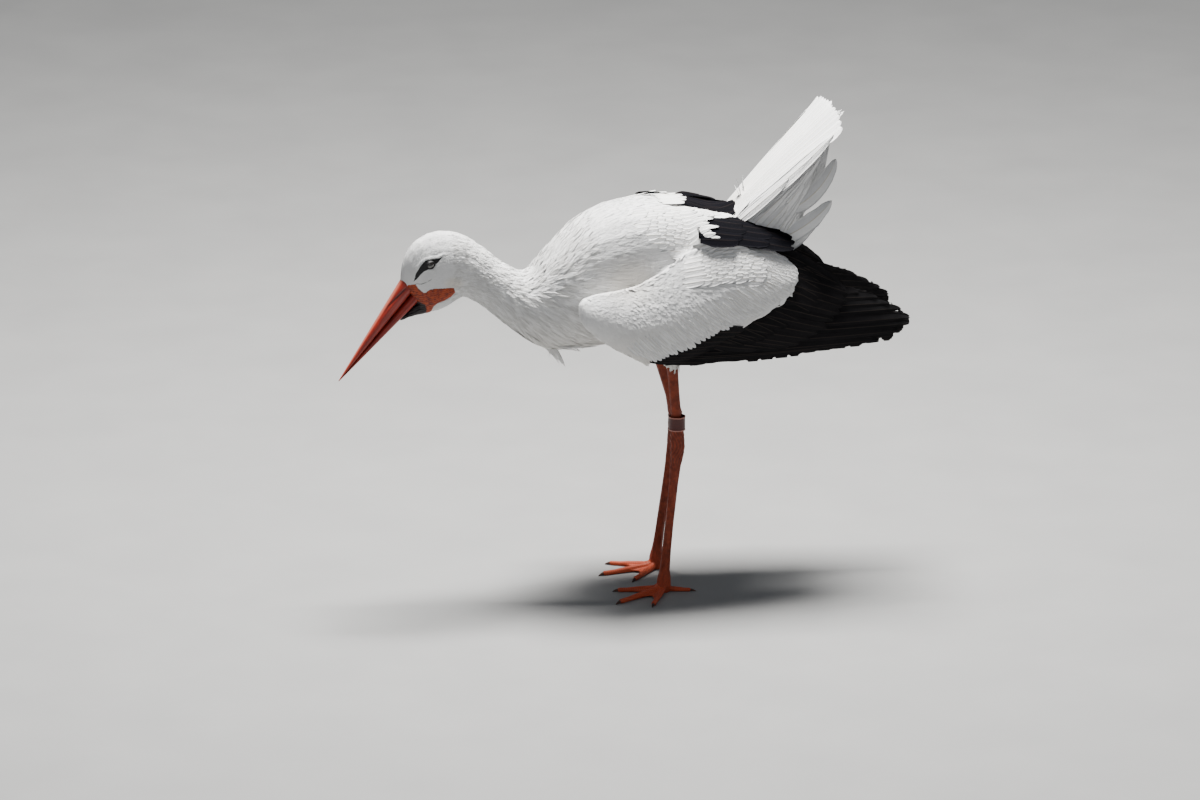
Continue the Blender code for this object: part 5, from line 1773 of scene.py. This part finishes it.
def make_leg(side, sign, material):
    nodes = [f"shank_{side}", f"tarsus_{side}"] + [f"toe_{side}_{toe}" for toe in TOES]
    webs, ends = make_webs(side, sign), make_toe_ends(side)
    extra = (np.concatenate([webs[0], ends[0]]), np.concatenate([webs[1], ends[1] + len(webs[0])]))
    points, quads = fused(nodes, 0.0002, LEG_VOXEL, extra)
    points = smoothed(points, quads, 3)
    normals = vertex_normals(points, quads)
    height, values = leg_relief(points, normals, 3.0 if side == "left" else 8.0)
    z = points[:, 2]
    above = fade(z, 0.0004, 0.0025)  # what stands on the floor stays flat
    slim = 0.0008 * fade(z, 0.020, 0.040) * fade(z, 0.262, 0.240)
    points = points + normals * ((height - slim) * above)[:, None]
    points[:, 2] = np.maximum(points[:, 2], 0.0)
    mesh = new_mesh(f"leg_{side}", points, quads)
    add_values(mesh, "scute", values)
    unwrap(show(f"leg_{side}", mesh, "leg_skin", material, replaced=nodes))


RING_TURNS = 96
# Half of the ring's section, from the middle of its bore round one rim to the middle of its outside: how far
# in from the rim's outside each place is, and how far from the ring's end.
RING_SECTION = [
    (0.00160, 0.01000), (0.00160, 0.00040), (0.00145, 0.00010), (0.00115, 0.00000), (0.00045, 0.00000),
    (0.00012, 0.00012), (0.00000, 0.00045), (0.00000, 0.00130), (0.00012, 0.00165), (0.00034, 0.00190),
    (0.00040, 0.00230), (0.00040, 0.01000),
]  # fmt: skip


def make_ring(material):
    """The band on the left leg, in the place of its node."""
    solid = read("leg_ring")[0]
    low, high = solid.min(axis=0), solid.max(axis=0)
    centre, rim = (low + high) / 2, (high[0] - low[0]) / 2
    lower = [(rim - inset, low[2] + end) for inset, end in RING_SECTION]
    upper = [(rim - inset, high[2] - end) for inset, end in reversed(RING_SECTION)]
    section = np.array(lower + upper)
    angle = 2 * pi * np.arange(RING_TURNS) / RING_TURNS
    lap = 0.00025 * fade(np.abs(angle - 1.9), 0.42, 0.38)  # where the band's end laps over its start
    outside = (section[:, 0] > rim - 0.0010)[:, None]
    reach = section[:, :1] + lap[None, :] * outside
    x, y = centre[0] + reach * np.cos(angle), centre[1] + reach * np.sin(angle)
    points = np.stack([x, y, np.broadcast_to(section[:, 1:], x.shape)], axis=-1).reshape(-1, 3)
    faces = grid_faces(len(section), RING_TURNS, closed=True)
    last = (len(section) - 1) * RING_TURNS
    step = np.arange(RING_TURNS)
    after = (step + 1) % RING_TURNS
    faces = np.concatenate([faces, np.stack([last + step, last + after, after, step], axis=1)])[:, ::-1]
    end = np.minimum(section[:, 1:] - low[2], high[2] - section[:, 1:])
    values = np.zeros((len(section), RING_TURNS, 4))
    # The rims, where the material paints a highlight.
    values[..., 0] = (end < 0.0019) & outside
    values[..., 1] = step[None, :] / RING_TURNS
    values[..., 2] = (section[:, 1:] - low[2]) / (high[2] - low[2])
    mesh = new_mesh("leg_band", points, faces)
    add_values(mesh, "band", values.reshape(-1, 4))
    unwrap(show("leg_band", mesh, "ring_plastic", material, replaced=["leg_ring"]))


def finish_claws(material):
    """The claws stay as the CAD's own nodes, with their edges rounded."""
    for side in SIDES:
        for toe in TOES:
            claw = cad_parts[f"claw_{side}_{toe}"]
            claw.data.materials.clear()
            claw.data.materials.append(material)
            joined = claw.modifiers.new("joined", "WELD")
            joined.merge_threshold = 1e-5
            rounding = claw.modifiers.new("rounding", "SUBSURF")
            rounding.levels = rounding.render_levels = 2


# The stage.


def make_stage():
    """A pale floor and three soft lamps."""
    mesh = bpy.data.meshes.new("floor")
    size = 14.0
    corners = [(-size, -size, 0), (size, -size, 0), (size, size, 0), (-size, size, 0)]
    mesh.from_pydata(corners, [], [(0, 1, 2, 3)])
    graph = Graph("floor")
    grain = graph.noise(6)
    colour = graph.mix(graph.ramp(grain, 0.3, 0.7), (0.245, 0.245, 0.243), (0.265, 0.265, 0.262))
    mesh.materials.append(graph.finish(colour, graph.ramp(grain, 0, 1, 0.75, 0.85)))
    floor = bpy.data.objects.new("floor", mesh)
    bpy.context.scene.collection.objects.link(floor)

    world = bpy.data.worlds.new("studio")
    world.use_nodes = True
    world.node_tree.nodes["Background"].inputs["Color"].default_value = (0.84, 0.90, 1.0, 1.0)
    world.node_tree.nodes["Background"].inputs["Strength"].default_value = 0.21
    bpy.context.scene.world = world

    aim = Vector((0.0, 0.0, 0.40))
    lamps = [
        ("key", (0.1, 0.42, 3.2), 0.9, 510, (1.0, 0.985, 0.96)),
        ("front", (-2.6, -3.2, 2.2), 2.4, 9, (0.97, 0.98, 1.0)),
        ("low", (1.5, -3.4, 0.9), 2.0, 6, (1.0, 0.98, 0.94)),
    ]
    for name, place, width, power, tint in lamps:
        light = bpy.data.lights.new(name, "AREA")
        light.size = width
        light.energy = power
        light.color = tint
        lamp = bpy.data.objects.new(name, light)
        lamp.location = place
        lamp.rotation_euler = (aim - Vector(place)).to_track_quat("-Z", "Y").to_euler()
        bpy.context.scene.collection.objects.link(lamp)


def make_camera():
    """From the bird's left, a little ahead of it and above, and far enough away for almost no perspective."""
    azimuth, elevation, distance = radians(-14), radians(18), 14.0
    metres_per_picture = 1.8  # the width of the view at the bird
    aim_right, aim_up = -0.0825, 0.27  # the middle of the view, from the bird's origin
    right = Vector((cos(azimuth), sin(azimuth), 0))
    back = Vector((sin(azimuth) * cos(elevation), -cos(azimuth) * cos(elevation), sin(elevation)))
    up = back.cross(right)
    data = bpy.data.cameras.new("camera")
    data.sensor_width = 36
    data.lens = 36 * distance / metres_per_picture
    data.clip_end = 100
    camera = bpy.data.objects.new("camera", data)
    place = Vector(ORIGIN) + back * distance + right * aim_right + up * aim_up
    camera.matrix_world = Matrix.Translation(place) @ Matrix((right, up, back)).transposed().to_4x4()
    bpy.context.scene.collection.objects.link(camera)
    bpy.context.scene.camera = camera


make_camera()
make_stage()
skin, skin_points, own_points = make_skin(make_skin_material())
ground = Ground(skin, skin_points, own_points)
make_coat(ground, make_coat_material())
white_vane = make_vane_material("white_vanes", (WHITE, SHADE), *WHITE_TRIM, 0.3, 0.6)
# The flight feathers' black is lighter, a painted sheen; the scapulars get a darker copy of it, painted shade
# that offsets the key lamp falling full on them.
black_vane = make_vane_material("black_vanes", BLACK, *BLACK_TRIM, 0.08, 0.70)
shaded_black_vane = make_vane_material("shaded_scapular_vanes", SHADED_BLACK, *SHADED_BLACK_TRIM, 0.03, 0.78)
for side in SIDES:
    make_wing(side, black_vane, shaded_black_vane, white_vane)
make_tail(white_vane)
make_undertail(white_vane)
make_breast_plumes(white_vane)
make_bill(make_bill_material())
make_eyes(make_eye_material())
leg_skin = make_leg_material()
for side, sign in SIDES.items():
    make_leg(side, sign, leg_skin)
make_ring(make_ring_material())
finish_claws(make_claw_material())
